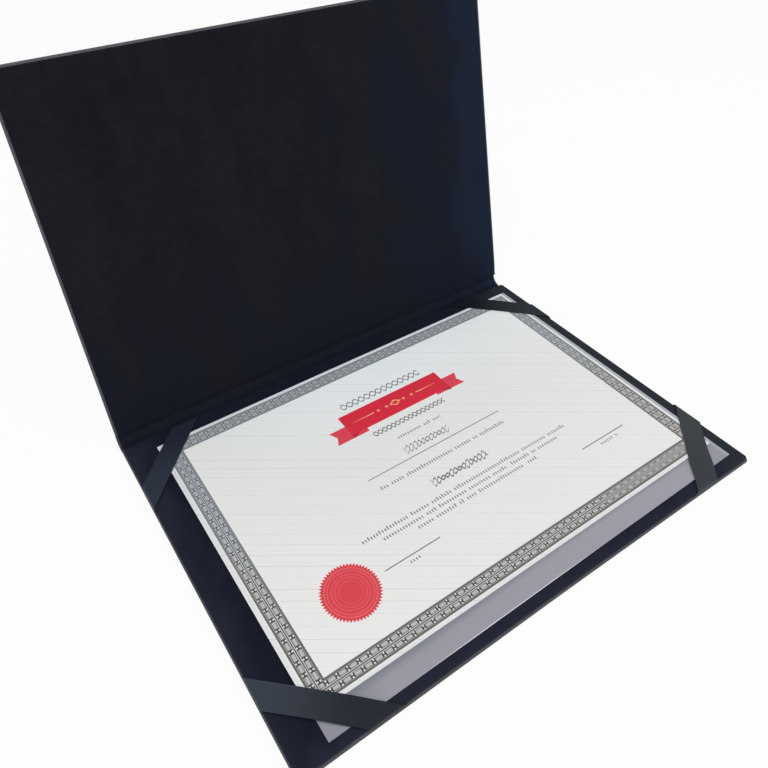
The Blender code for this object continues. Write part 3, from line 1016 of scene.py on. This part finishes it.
def mesh_object(name: str, points: Sequence, faces: Sequence) -> bpy.types.Object:
    """Make an object from points and faces, with doubles merged.

    Args:
        name: Its name.
        points: Its points, in millimetres.
        faces: Its faces, as numbers of points.

    Returns:
        The object.
    """
    mesh = bpy.data.meshes.new(name)
    mesh.from_pydata([tuple(part * MM for part in point) for point in points], [], faces)
    obj = bpy.data.objects.new(name, mesh)
    bpy.context.scene.collection.objects.link(obj)
    with editing(obj):
        bpy.ops.mesh.remove_doubles(threshold=MERGE_MM * MM)
        bpy.ops.mesh.delete_loose(use_verts=True, use_edges=True, use_faces=False)
    return obj


def flat_primitive(name: str, add: Callable[..., object], **settings: object) -> bpy.types.Object:
    """Add a flat primitive with nothing else selected.

    Args:
        name: Its name.
        add: The operator that adds it.
        settings: The operator's settings.

    Returns:
        The object.
    """
    bpy.ops.object.select_all(action="DESELECT")
    add(**settings)
    bpy.context.object.name = name
    return bpy.context.object


def grid_faces(
    rows: int, columns: int, first: int = 0, left_out: Callable[[int, int], bool] | None = None
) -> list[tuple[int, int, int, int]]:
    """Join rows of points that were listed row after row.

    Args:
        rows: How many rows there are.
        columns: How many points a row has.
        first: The number of the first point.
        left_out: Whether the face at a row and a column is left out.

    Returns:
        The faces.
    """
    faces = []
    for row in range(rows - 1):
        for column in range(columns - 1):
            if not (left_out and left_out(row, column)):
                corner = first + row * columns + column
                faces.append((corner, corner + 1, corner + columns + 1, corner + columns))
    return faces


def askew(points: np.ndarray) -> np.ndarray:
    """Move the base's cloth at its front edge, which reaches further out on the right.

    Args:
        points: Rows of x, y and z in millimetres.

    Returns:
        The moved points.
    """
    moved = points.copy()
    out = SKEW_LEFT + SKEW_SLOPE * (points[:, 0] + np.hypot(points[:, 0], SKEW_SOFT))
    moved[:, 1] -= out * smoothstep((SKEW_FROM - points[:, 1]) / SKEW_OVER)
    return moved


def dress(obj: bpy.types.Object, material: bpy.types.Material) -> None:
    """Give an object one material."""
    obj.data.materials.clear()
    obj.data.materials.append(material)


@dataclass
class Piece:
    """A finished piece, its material, and the slot and the nodes that it stands for."""

    obj: bpy.types.Object
    material: bpy.types.Material
    slot: str
    replaces: tuple[str, ...]

    def report(self) -> None:
        """Dress it, hide the nodes that it stands for, and log it with its slot."""
        dress(self.obj, self.material)
        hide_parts(*self.replaces)
        LOG.info("%s: %d faces, slot %s", self.obj.name, len(self.obj.data.polygons), self.slot)


@dataclass
class Case:
    """The two boards' cloth and velvet, and the soft spine that both make between the hinge lines.

    Lengths are in millimetres. out is the distance from a half's hinge line towards its board. The
    cloth is made of rings that run round the board, from under it to its turned-in edges.
    """

    half_width: float = 162.5
    board_start: float = 0.8
    depth: float = 227.0
    spine_middle: float = 6.0
    board_height: float = 2.34
    spine_height: float = 0.72
    cloth: float = 0.3
    edge_round: float = 0.5
    corner_round: float = 1.5
    turn_in: float = 15.0
    mitre_half_gap: float = 0.25
    drawn_in: tuple[float, float] = (-0.4, 2.0)
    right_reach: tuple[float, float] = (0.35, 0.85)
    reach_over: float = 12.0
    stretched: float = 60.0
    velvet: float = 0.35
    velvet_edge: float = 0.09
    velvet_margin: float = 1.5
    velvet_climb: float = 0.9
    velvet_middle_on_spine: float = 1.015
    velvet_middle_on_lid: float = 2.635
    velvet_middle_on_base: float = 2.595
    tuck: float = 4.0
    tuck_at_ribbon: float = 1.0
    ribbons_cross: tuple[float, float] = (100.0, 131.0)
    ripple: float = 0.35
    ripples: tuple[Point, ...] = ((1.0, 0.062, 1.3), (0.7, 0.137, -0.6), (0.4, 0.31, 0.0))
    row_step: float = 0.4
    near_rows: int = 24
    spine_rows: int = 17
    rim_steps: tuple[float, ...] = (0.0, 0.4, 0.9, 1.5)
    tuck_rows: tuple[float, ...] = (0.8, 1.0, 1.8, 2.9)
    lid_end_rows: tuple[float, ...] = (1.5, 0.9, 0.4)
    inner_steps: tuple[float, ...] = (18.0, 9.0, 4.0, 1.6)
    flap_steps: tuple[float, ...] = (1.8, 5.0, 10.0, 15.0)
    cover_columns: int = 34
    velvet_columns: int = 44

    @property
    def far(self) -> float:
        """Where a board's free edge lies."""
        return self.board_start + self.depth

    @property
    def straight(self) -> float:
        """Half the straight part of a board's free edge."""
        return self.half_width - self.corner_round

    @property
    def arc(self) -> list[float]:
        """The angles of the points round a corner."""
        return [math.pi / 2 * step / 6 for step in range(1, 6)]

    def drawn(self, out: float, x: float) -> float:
        """How far the spine's left or right end is drawn in."""
        share = math.sin(math.pi * -out / (2 * self.spine_middle)) ** 2
        return 0.0 if out >= 0 else self.drawn_in[x > 0] * share

    def on_board(self, out: float) -> float:
        """0 on the spine and 1 on the board, eased over the board's edge."""
        return smoothstep((out + 1.2) / (self.board_start + 1.2))

    def lift(self, x: float, out: float, half: Half) -> float:
        """How high the soft spine ripples, which both its layers share.

        Args:
            x: The place along the spine.
            out: The place across it.
            half: The half that the place is counted from.

        Returns:
            The height.
        """
        along = -out if half is Half.BASE else 2 * self.spine_middle + out
        share = min(max((along - 0.6) / (2 * self.spine_middle - 1.2), 0.0), 1.0)
        wave = sum(high * math.sin(x * often + late) for high, often, late in self.ripples)
        return self.ripple * math.sin(math.pi * share) ** 2 * (1.0 + 0.45 * wave)

    def reach_right(self, x: float, out: float, half: Half) -> float:
        """How far the lid's right side reaches past the base's, more so at its free edge.

        Args:
            x: The place along the spine.
            out: The place across it.
            half: The half that the place is on.

        Returns:
            How far the place moves to the right.
        """
        if half is Half.BASE or x <= 0:
            return 0.0
        low, high = self.right_reach
        share = x / self.half_width * smoothstep(out / self.reach_over)
        return share * (low + (high - low) * out / self.far)

    def outs(self, end: float, finish: Sequence[float] = ()) -> list[float]:
        """Place the rows from the middle of the spine to a free edge, closer at the hinge.

        Args:
            end: Where the free edge is.
            finish: Distances from it of further rows.

        Returns:
            The rows' places.
        """
        near = [-self.spine_middle + self.row_step * step for step in range(self.near_rows)]
        wide = [30.0 + 10.0 * step for step in range(int((end - 35) / 10))]
        return [*near, 5.0, 8.0, 13.0, 20.0, *wide, *(end - left for left in finish), end]

    def height(self, out: float, rise: tuple[float, float]) -> float:
        """A height on the cloth's side, as shares of its wall and of its rounding."""
        wall = self.spine_height + (self.board_height - self.spine_height) * self.on_board(out)
        return wall * rise[0] + min(self.edge_round, 0.45 * wall) * rise[1]

    def flank(self, side: int, inset: float, gap: float, rise: tuple[float, float]) -> list[Point]:
        """Make one side of a ring, from the spine to the end of its corner.

        Args:
            side: -1 at the left and 1 at the right.
            inset: How far inside the board's outline the ring runs.
            gap: How far it stays from the mitre.
            rise: Its height, as shares of the cloth's wall and of its rounding.

        Returns:
            The points, as x, out and height.
        """
        found = []
        steady = self.far - self.stretched
        rounded = self.far - self.corner_round
        stretch = (self.far - max(inset, self.corner_round) - gap - steady) / (rounded - steady)
        for out in self.outs(rounded):
            moved = min(out, steady) + max(out - steady, 0.0) * stretch
            x = self.half_width - self.drawn(out, side) - inset
            found.append((side * x, moved, self.height(out, rise)))
        for angle in self.arc:
            if inset < self.corner_round:
                radius = self.corner_round - inset
                x = self.straight + radius * math.cos(angle)
                out = rounded + radius * math.sin(angle)
            else:
                share = angle / (math.pi / 2)
                x = self.half_width - inset - gap * share
                out = self.far - inset - gap * (1 - share)
            found.append((side * x, out, self.height(self.far, rise)))
        return found

    def ring(self, inset: float, gap: float, rise: tuple[float, float]) -> list[Point]:
        """Make one ring, from the spine along one side of the board and back along the other.

        Args:
            inset: How far inside the board's outline it runs.
            gap: How far it stays from the mitres.
            rise: Its height, as shares of the cloth's wall and of its rounding.

        Returns:
            The points, as x, out and height.
        """
        reach = (self.half_width - max(inset, self.corner_round) - gap) / self.straight
        xs = np.linspace(-self.straight, self.straight, self.cover_columns)
        end = [(x * reach, self.far - inset, self.height(self.far, rise)) for x in xs]
        left, right = (self.flank(side, inset, gap, rise) for side in (-1, 1))
        return [*left, *end, *reversed(right)]

    def section(self) -> list[tuple[float, float, float]]:
        """Give the rings under the board and up its edge.

        Returns:
            Each one's inset, and its height as shares of the cloth's wall and of its rounding.
        """
        quarter = [math.pi / 2 * step / 4 for step in range(5)]
        foot = [(1 - math.sin(angle), 0.0, 1 - math.cos(angle)) for angle in quarter]
        brow = [(1 - math.cos(angle), 1.0, math.sin(angle) - 1) for angle in quarter]
        edge = [(self.edge_round * inset, *rise) for inset, *rise in foot + brow]
        return [(inset, 0.0, 0.0) for inset in self.inner_steps] + edge

    def cover(self, half: Half) -> bpy.types.Object:
        """Make the cloth of one half: under the board, up its edges and turned in over its top.

        Args:
            half: The half.

        Returns:
            The cloth, in the flat layout and without its thickness.
        """
        rings = [self.ring(inset, 0.0, rise) for inset, *rise in self.section()]
        slit_from = len(rings)
        rings += [self.ring(inset, self.mitre_half_gap, (1.0, 0.0)) for inset in self.flap_steps]
        points = [point for ring_points in rings for point in ring_points]
        stations, bow = len(rings[0]), len(self.arc)
        side = (stations - self.cover_columns) // 2 - bow
        right = stations - side
        mitres = {*range(side - 1, side + bow), *range(right - bow - 1, right)}
        faces = grid_faces(
            len(rings), stations, left_out=lambda row, at: row >= slit_from and at in mitres
        )
        first, inner = len(points), rings[0]
        across = inner[side + bow : side + bow + self.cover_columns]
        for left_point, right_point in zip(inner[:side], inner[::-1]):
            for x, _, _ in across:
                share = (x - across[0][0]) / (across[-1][0] - across[0][0])
                middle = left_point[0] + (right_point[0] - left_point[0]) * share
                points.append((middle, left_point[1], 0.0))
        faces += grid_faces(side, self.cover_columns, first)
        return self.laid_out(f"{half.name.lower()}_cover_cloth", half, points, faces, False)

    def laid_out(
        self, name: str, half: Half, points: Sequence[Point], faces: Sequence, upwards: bool
    ) -> bpy.types.Object:
        """Make a sheet in the flat layout.

        Args:
            name: Its name.
            half: The half that it belongs to.
            points: Its points, as x, out and height.
            faces: Its faces, as numbers of points.
            upwards: Whether it faces up, or else down.

        Returns:
            The sheet.
        """
        flat = []
        for x, out, z in points:
            y = HINGES.flat_y(half, out * MM) / MM
            flat.append((x + self.reach_right(x, out, half), y, z + self.lift(x, out, half)))
        obj = mesh_object(name, askew(np.array(flat)), faces)
        keep_flat_place(obj, places_of(obj) / MM)
        point_up(obj, upwards)
        return obj

    def stand_up(self, obj: bpy.types.Object, half: Half) -> None:
        """Bend a flat piece round its hinge line.

        Args:
            obj: The piece.
            half: The half that it belongs to.
        """
        placed, start, end = HINGES.bend(half, places_of(obj))
        place_all(obj, placed)
        smooth(obj)
        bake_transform(obj)

    def velvet_point(self, half: Half, x: float, out: float) -> Point:
        """Place one point of the velvet.

        Args:
            half: The half that it belongs to.
            x: Its place along the spine, on a plain grid.
            out: Its place across it, on a plain grid.

        Returns:
            The point, as x, out and height.
        """
        edge = self.half_width - self.velvet_margin
        side, place = x * (edge - self.drawn(out, x)) / edge, out
        if half is Half.LID:
            middle = self.velvet_middle_on_lid
            past = out - (self.far - self.velvet_margin - self.corner_round)
            if past > 0:
                left = math.sqrt(max(self.corner_round**2 - past**2, 0.0))
                side = math.copysign(min(abs(side), edge - self.corner_round + left), side)
        else:
            middle = self.velvet_middle_on_base
            if self.ribbons_cross[0] < abs(x) < self.ribbons_cross[1]:
                place = min(out, self.tuck_at_ribbon + 0.001 * out)
        rise = (middle - self.velvet_middle_on_spine) * self.on_board(out)
        return side, place, self.velvet_middle_on_spine + rise

    def lining(self, half: Half) -> bpy.types.Object:
        """Make the velvet of one half: over the spine and the lid, or tucked under the panel.

        Args:
            half: The half.

        Returns:
            The velvet, in the flat layout.
        """
        edge = self.half_width - self.velvet_margin
        rim = [edge - step for step in self.rim_steps]
        inner = np.linspace(-(edge - 6), edge - 6, self.velvet_columns)
        xs = [*(-x for x in rim), *inner, *reversed(rim)]
        if half is Half.LID:
            name = "lid_lining_velvet"
            outs = self.outs(self.far - self.velvet_margin, self.lid_end_rows)
        else:
            name = "spine_lining_velvet"
            near = [-self.spine_middle + self.row_step * step for step in range(self.spine_rows)]
            outs = [*near, *self.tuck_rows, self.tuck]
        points = [self.velvet_point(half, x, out) for out in outs for x in xs]
        obj = self.laid_out(name, half, points, grid_faces(len(outs), len(xs)), True)
        thicken(obj, self.velvet * MM, 0.0, self.velvet_edge * MM)
        return obj

    def build(self) -> None:
        """Make and dress the four pieces of cloth."""
        grain = CoverGrain().material()
        y_low, y_high = (HINGES.flat_y(Half.LID, out * MM) / MM for out in (-6.0, self.far - 1.5))
        nap = Velvet(
            name="lid_velvet",
            deep=srgb(22, 23, 28),
            pale=srgb(31, 32, 35),
            # Painted sheen: bluer, lighter tones towards the lid's hinge end and across its right
            # part, and a bluer band along its sides, most at the right.
            painted_sheens=(
                PaintedSheen(srgb(26, 29, 40), (0.0, y_high), (999.0, y_high - y_low), 100.0, (0.8, 0.8)),
                PaintedSheen(srgb(25, 29, 41), (0.0, y_low), (161.0, 999.0), 165.0, (0.0, 1.0)),
                PaintedSheen(srgb(28, 37, 54), (0.0, y_low), (161.0, 999.0), 42.0, (0.1, 0.95)),
            ),
        ).material()
        flat_width = 2 * (self.half_width + self.board_height + self.turn_in)
        velvet_width = 2 * (self.half_width - self.velvet_margin)
        for half in Half:
            part = half.name.lower()
            cover = self.cover(half)
            thicken(cover, self.cloth * MM, -1.0)
            self.stand_up(cover, half)
            Piece(cover, grain, "cover_cloth", (f"{part}_cover", "spine_cover")).report()
            flat_width * MM
            lining = self.lining(half)
            self.stand_up(lining, half)
            on_base = half is Half.BASE
            stands_for = ("spine_lining",) if on_base else ("lid_lining", "spine_lining")
            Piece(lining, nap, "velvet", stands_for).report()
            velvet_width * MM


@dataclass
class VelvetPanel:
    """The velvet over the base's panel, drawn over its edges and turned under, in millimetres."""

    width: float = 323.6
    depth: float = 225.6
    low: float = 2.83
    high: float = 4.67
    corner: float = 2.0
    edge: float = 0.8
    turn_under: float = 12.0
    velvet: float = 0.35
    step: float = 9.0
    soft_reach: float = 14.0
    soft_depth: float = 0.03

    def build(self) -> None:
        """Make and dress the panel's velvet."""
        obj = flat_primitive("panel_velvet_cloth", bpy.ops.mesh.primitive_plane_add, size=1.0)
        top, bottom = self.high * MM, self.low * MM
        with editing(obj):
            bpy.ops.transform.resize(value=(self.width * MM, self.depth * MM, 1.0))
            bpy.ops.transform.translate(value=(0.0, 0.0, top))
            bpy.ops.mesh.bevel(offset=self.corner * MM, segments=6, affect="VERTICES")
            pick_edges(obj, lambda at: True)
            for drop in (bottom - top, 0.0):
                move = {"value": (0.0, 0.0, drop)}
                bpy.ops.mesh.extrude_edges_move(TRANSFORM_OT_translate=move)
            shrink = [1 - 2 * self.turn_under / side for side in (self.width, self.depth)]
            bpy.ops.transform.resize(value=(*shrink, 1.0), center_override=(0.0, 0.0, bottom))
            for height in (top, bottom):
                pick_edges(obj, lambda at, level=height: self.on_edge(at, level))
                bpy.ops.mesh.bevel(offset=self.edge * MM, segments=4, affect="EDGES")
            self.cut_grid()
        self.soften(obj)
        keep_flat_place(obj, places_of(obj) / MM)
        point_up(obj)
        thicken(obj, self.velvet * MM, -1.0)
        half_x, half_y = self.width / 2, self.depth / 2
        nap = Velvet(
            name="panel_velvet",
            deep=srgb(20, 23, 35),
            pale=srgb(26, 30, 43),
            # Painted sheen: a lighter band inside the panel's sides and front, and a lighter strip
            # along its right side.
            painted_sheens=(
                PaintedSheen(srgb(43, 46, 58), (0.0, 60.0), (half_x, half_y + 60.0), 20.0, (0.75, 0.7)),
                PaintedSheen(srgb(46, 50, 56), (-200.0, 0.0), (half_x + 200.0, 999.0), 32.0, (0.0, 1.0)),
            ),
        ).material()
        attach(obj, "base")
        Piece(obj, nap, "velvet", ("panel_velvet",)).report()

    def on_edge(self, at: Vector, height: float) -> bool:
        """Whether a place lies on the panel's outer edge at a height, both in metres."""
        inner = [(side / 2 - self.corner - 1) * MM for side in (self.width, self.depth)]
        return abs(at.z - height) < 1e-6 and (abs(at.x) > inner[0] or abs(at.y) > inner[1])

    def cut_grid(self) -> None:
        """Cut the mesh into squares by planes across it, both ways."""
        for side, way in ((self.width, (1.0, 0.0, 0.0)), (self.depth, (0.0, 1.0, 0.0))):
            count = int((side / 2 - 4) / self.step)
            for number in range(-count, count + 1):
                bpy.ops.mesh.select_all(action="SELECT")
                place = tuple(number * self.step * MM * part for part in way)
                bpy.ops.mesh.bisect(plane_co=place, plane_no=way)

    def soften(self, obj: bpy.types.Object) -> None:
        """Let the padded top swell and dip a little inside its edges.

        Args:
            obj: The panel's velvet.
        """
        mm = places_of(obj) / MM
        x, y = mm[:, 0], mm[:, 1]
        inside = np.minimum(self.width / 2 - abs(x), self.depth / 2 - abs(y))
        share = np.clip(inside / self.soft_reach, 0.0, 1.0) * (mm[:, 2] > self.high - 0.01)
        wave = np.sin(x * 0.05 + 0.8) * np.sin(y * 0.07 + 0.3)
        mm[:, 2] += share * (wave - 1) * self.soft_depth
        place_all(obj, askew(mm) * MM)


@dataclass(frozen=True)
class RibbonPlace:
    """One ribbon's corner of the panel, where its middle crosses the two edges, and its tones with
    painted light and shade.

    side is -1 at the left corners and 1 at the right, front is -1 at the front corners and 1 at
    the back, and on_end and on_side are the distances from the corner along the front or back edge
    and along the side edge, in millimetres.
    """

    name: str
    side: int
    front: int
    on_end: float
    on_side: float
    lit_side_tone: Colour
    shaded_end_tone: Colour
    shine: float = 0.18


@dataclass
class CornerRibbons:
    """Four ribbons, each drawn over a corner and folded round both edges of the panel, in mm."""

    width: float = 13.3
    thickness: float = 0.25
    panel_half: tuple[float, float] = (161.8, 112.8)
    wall: float = 0.245
    shoulder: float = 0.9
    bend: float = 0.4
    top: float = 5.605
    tail_height: float = 2.585
    tail: float = 12.0
    crown: float = 0.1
    arch: float = 0.4
    columns: int = 9
    rows_across: int = 40
    # Each ribbon's tones are one satin with painted light and shade: lighter at the side edge,
    # darker at the end.
    places: tuple[RibbonPlace, ...] = (
        RibbonPlace("front_left", -1, -1, 45.4, 42.6, srgb(50, 58, 69), srgb(14, 19, 33)),
        RibbonPlace("front_right", 1, -1, 40.7, 43.1, srgb(49, 55, 59), srgb(47, 52, 57)),
        RibbonPlace("back_left", -1, 1, 42.5, 45.7, srgb(40, 49, 64), srgb(30, 36, 50)),
        RibbonPlace("back_right", 1, 1, 46.9, 45.5, srgb(46, 52, 58), srgb(22, 28, 35), 0.04),
    )

    def stations(self) -> list[Point]:
        """Follow the ribbon over an edge and to the end of its tail.

        Returns:
            For each station its run along the ribbon, its distance outside the edge and its height.
        """
        steps = [math.pi / 2 * step / 6 for step in range(7)]
        down = self.shoulder * math.pi / 2 + self.top - self.tail_height - self.shoulder - self.bend
        found = []
        for angle in steps:
            outside = self.wall - self.shoulder * (1 - math.sin(angle))
            height = self.top - self.shoulder * (1 - math.cos(angle))
            found.append((self.shoulder * angle, outside, height))
        for angle in steps:
            outside = self.wall - self.bend * (1 - math.cos(angle))
            height = self.tail_height + self.bend * (1 - math.sin(angle))
            found.append((down + self.bend * angle, outside, height))
        run, outside, height = found[-1]
        for part in (self.tail * quarter / 4 for quarter in range(1, 5)):
            found.append((run + part, outside - part, height))
        return found

    def ribbon(self, place: RibbonPlace) -> tuple[list[Point], list[Point], float]:
        """Make one ribbon's middle surface.

        A spot's a and b are its distances inside the panel's side edge and inside its front or
        back edge. They come with the a and b that it has before the ribbon is folded down there.

        Args:
            place: Where it lies.

        Returns:
            Its points in rows, their places along and across the ribbon, and its length.
        """
        diagonal = math.hypot(place.on_end, place.on_side)
        share_a, share_b = place.on_side / diagonal, place.on_end / diagonal
        middle = place.on_end * place.on_side / diagonal
        strips = np.linspace(-self.width / 2, self.width / 2, self.columns)
        stations = self.stations()
        start = -stations[0][1]
        spots = []
        for run, outside, height in reversed(stations):
            for strip in strips:
                b = (middle + strip - share_a * (start - run)) / share_b
                spots.append((-outside, b, height, start - run, b, strip))
        for share in (number / self.rows_across for number in range(1, self.rows_across)):
            for strip in strips:
                last_a = (middle + strip - share_b * start) / share_a
                a = start + (last_a - start) * share
                b = (middle + strip - share_a * a) / share_b
                swell, across = math.sin(math.pi * share), strip / (self.width / 2)
                rise = self.crown * (1 - across**2) * swell**0.5 + self.arch * swell**2
                spots.append((a, b, self.top + rise, a, b, strip))
        for run, outside, height in stations:
            for strip in strips:
                a = (middle + strip - share_b * (start - run)) / share_a
                spots.append((a, -outside, height, a, start - run, strip))
        half_x, half_y = self.panel_half
        points = [
            (place.side * (half_x - a), place.front * (half_y - b), z) for a, b, z, *_ in spots
        ]
        flat = [(a * share_b - b * share_a, strip, 0.0) for *_, a, b, strip in spots]
        past = stations[-1][0] - start
        return points, flat, diagonal + past / share_a + past / share_b

    def build(self) -> None:
        """Make and dress the four ribbons."""
        for place in self.places:
            node = f"ribbon_{place.name}"
            points, flat, length = self.ribbon(place)
            faces = grid_faces(len(points) // self.columns, self.columns)
            obj = mesh_object(f"satin_{node}", askew(np.array(points)), faces)
            keep_flat_place(obj, np.array(flat))
            point_up(obj)
            thicken(obj, self.thickness * MM, 0.0)
            tones = place.lit_side_tone, place.shaded_end_tone, place.shine
            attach(obj, "base")
            satin = RibbonSatin(node, self.width / 2, *tones).material()
            Piece(obj, satin, "ribbon", (node,)).report()
            length * MM


@dataclass
class Papers:
    """The backing sheet and the certificate, held flat at their corners and bowed between, in mm.

    edge_bow is how high the front and back edges bow, and then the left and right ones.
    """

    bow: float = 0.6
    edge_bow: tuple[float, float] = (0.35, 0.12)
    squares: tuple[int, int] = (44, 32)

    def sheet(self, name: str, node: str, slot: str, finish: PearlCard | CertificatePrint) -> None:
        """Make one sheet of paper in the place of its node, cut short at its front right if it is.

        Args:
            name: Its name.
            node: The node that it replaces.
            slot: Its material's slot.
            finish: Its finish, which says how much it is cut short.
        """
        low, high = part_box(node)
        whole_low, whole_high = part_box("backing_sheet")
        counts = {"x_subdivisions": self.squares[0], "y_subdivisions": self.squares[1]}
        obj = flat_primitive(name, bpy.ops.mesh.primitive_grid_add, size=1.0, **counts)
        with editing(obj):
            middle = (low + high) / 2
            bpy.ops.transform.resize(value=(high.x - low.x, high.y - low.y, 1.0))
            bpy.ops.transform.translate(value=(middle.x, middle.y, high.z))
        points = places_of(obj)
        centre, whole = (whole_low + whole_high) / 2, whole_high - whole_low
        u = (points[:, 0] - centre.x) / whole.x * 2
        v = (points[:, 1] - centre.y) / whole.y * 2
        across, along = np.clip(1 - u * u, 0, 1), np.clip(1 - v * v, 0, 1)
        lift = self.bow * across * along + self.edge_bow[0] * across**3 * v * v
        points[:, 2] += (lift + self.edge_bow[1] * along**3 * u * u) * MM
        points[:, 1] += (points[:, 1] < low.y + MM) * (u + 1) / 2 * finish.cut_short * MM
        place_all(obj, points)
        point_up(obj)
        thicken(obj, high.z - low.z, -1.0)
        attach(obj, node.removesuffix("_sheet"))
        Piece(obj, finish.material(), slot, (node,)).report()

    def build(self) -> None:
        """Make and dress both sheets."""
        self.sheet("backing_card", "backing_sheet", "pearl_card", PearlCard())
        printed = CertificatePrint()
        self.sheet("certificate_paper_sheet", "certificate", "certificate_paper", printed)


@dataclass
class Boards:
    """The three boards inside the cloth and the velvet, which stay as they were packed."""

    nodes: tuple[str, ...] = ("base_board", "lid_board", "panel_board")

    def build(self) -> None:
        """Dress the boards."""
        material = Greyboard().material()
        for node in self.nodes:
            dress(frame["nodes"][node], material)
            LOG.info("%s keeps its packed shape", node)


@dataclass
class Studio:
    """A white table and backdrop, soft lamps, and the camera where the photograph was taken."""

    camera_place: Point = (-0.20158, -0.22856, 0.35058)
    right: Point = (0.82776192, -0.561071, -0.00308835)
    down: Point = (-0.34933251, -0.51105597, -0.78535889)
    forward: Point = (0.43906378, 0.65116905, -0.61903301)
    lens: float = 33.338
    sensor: float = 36.0
    shift: tuple[float, float] = (0.01834, -0.0842)
    clip: tuple[float, float] = (0.01, 20.0)
    sky: float = 0.5
    sky_tone: Colour = (0.94, 0.97, 1.0)
    backdrop_glow: float = 0.91
    table_size: float = 6.0
    table_height: float = -0.02 * MM
    aim: Point = (0.0, 0.0, 0.05)
    lamps: tuple[tuple[str, Point, float, float], ...] = (
        ("window", (-0.9, -0.55, 1.0), 1.1, 7.3),
        ("fill", (0.9, -0.7, 0.9), 1.0, 4.8),
        ("top", (0.1, 0.2, 1.5), 1.2, 4.1),
    )

    def camera(self) -> None:
        """Place the camera."""
        data = bpy.data.cameras.new("camera")
        data.sensor_width = self.sensor
        data.lens = self.lens
        data.shift_x, data.shift_y = self.shift
        data.clip_start, data.clip_end = self.clip
        camera = bpy.data.objects.new("camera", data)
        columns = [Vector(self.right), -Vector(self.down), -Vector(self.forward)]
        turn = Matrix(columns).transposed().to_4x4()
        camera.matrix_world = Matrix.Translation(self.camera_place) @ turn
        bpy.context.scene.collection.objects.link(camera)
        bpy.context.scene.camera = camera

    def table(self) -> None:
        """Lay the pale table that the folder stands on."""
        place = {"size": self.table_size, "location": (0.0, 0.0, self.table_height)}
        table = flat_primitive("table", bpy.ops.mesh.primitive_plane_add, **place)
        paint = Paint("pale_table")
        cloudy = paint.noise(paint.object_mm(), 60.0)
        tone = paint.mix(cloudy, (0.86, 0.86, 0.86), (0.9, 0.9, 0.9))
        matt = paint.wire("ShaderNodeBsdfPrincipled", {"Base Color": tone, "Roughness": 0.9})
        glow = paint.wire("ShaderNodeEmission", {"Color": (1.0, 1.0, 1.0), "Strength": 1.0})
        seen = paint.wire("ShaderNodeLightPath", output="Is Camera Ray") * self.backdrop_glow
        mixed = paint.wire("ShaderNodeMixShader", {0: seen, 1: matt, 2: glow})
        paint.node("ShaderNodeOutputMaterial", {"Surface": mixed})
        dress(table, paint.owner)

    def world(self) -> None:
        """Light everything softly from all round, and show white behind it."""
        paint = Paint("studio", Owner.WORLD)
        rays = paint.node("ShaderNodeLightPath").outputs
        seen = [Wire(paint, rays[f"Is {ray} Ray"]) for ray in ("Camera", "Glossy", "Transmission")]
        light = paint.wire("ShaderNodeBackground", {"Color": self.sky_tone, "Strength": self.sky})
        white = paint.wire("ShaderNodeBackground", {"Color": (1.0, 1.0, 1.0)})
        shown = {0: reduce(Wire.most, seen), 1: light, 2: white}
        mixed = paint.wire("ShaderNodeMixShader", shown)
        paint.node("ShaderNodeOutputWorld", {"Surface": mixed})
        bpy.context.scene.world = paint.owner

    def light(self) -> None:
        """Hang the soft lamps, all aimed at the folder."""
        for name, place, size, power in self.lamps:
            data = bpy.data.lights.new(name, "AREA")
            data.size, data.energy = size, power
            lamp = bpy.data.objects.new(name, data)
            lamp.location = place
            way = Vector(self.aim) - Vector(place)
            lamp.rotation_euler = way.to_track_quat("-Z", "Y").to_euler()
            bpy.context.scene.collection.objects.link(lamp)

    def build(self) -> None:
        """Set up the whole studio."""
        self.camera()
        self.table()
        self.world()
        self.light()
        bpy.context.scene.view_settings.view_transform = "Standard"


def main() -> None:
    """Build the studio and dress the folder."""
    logging.basicConfig(level=logging.INFO, format="%(message)s")
    for part in (Studio(), Boards(), Case(), VelvetPanel(), CornerRibbons(), Papers()):
        part.build()


if __name__ == "__main__":
    main()
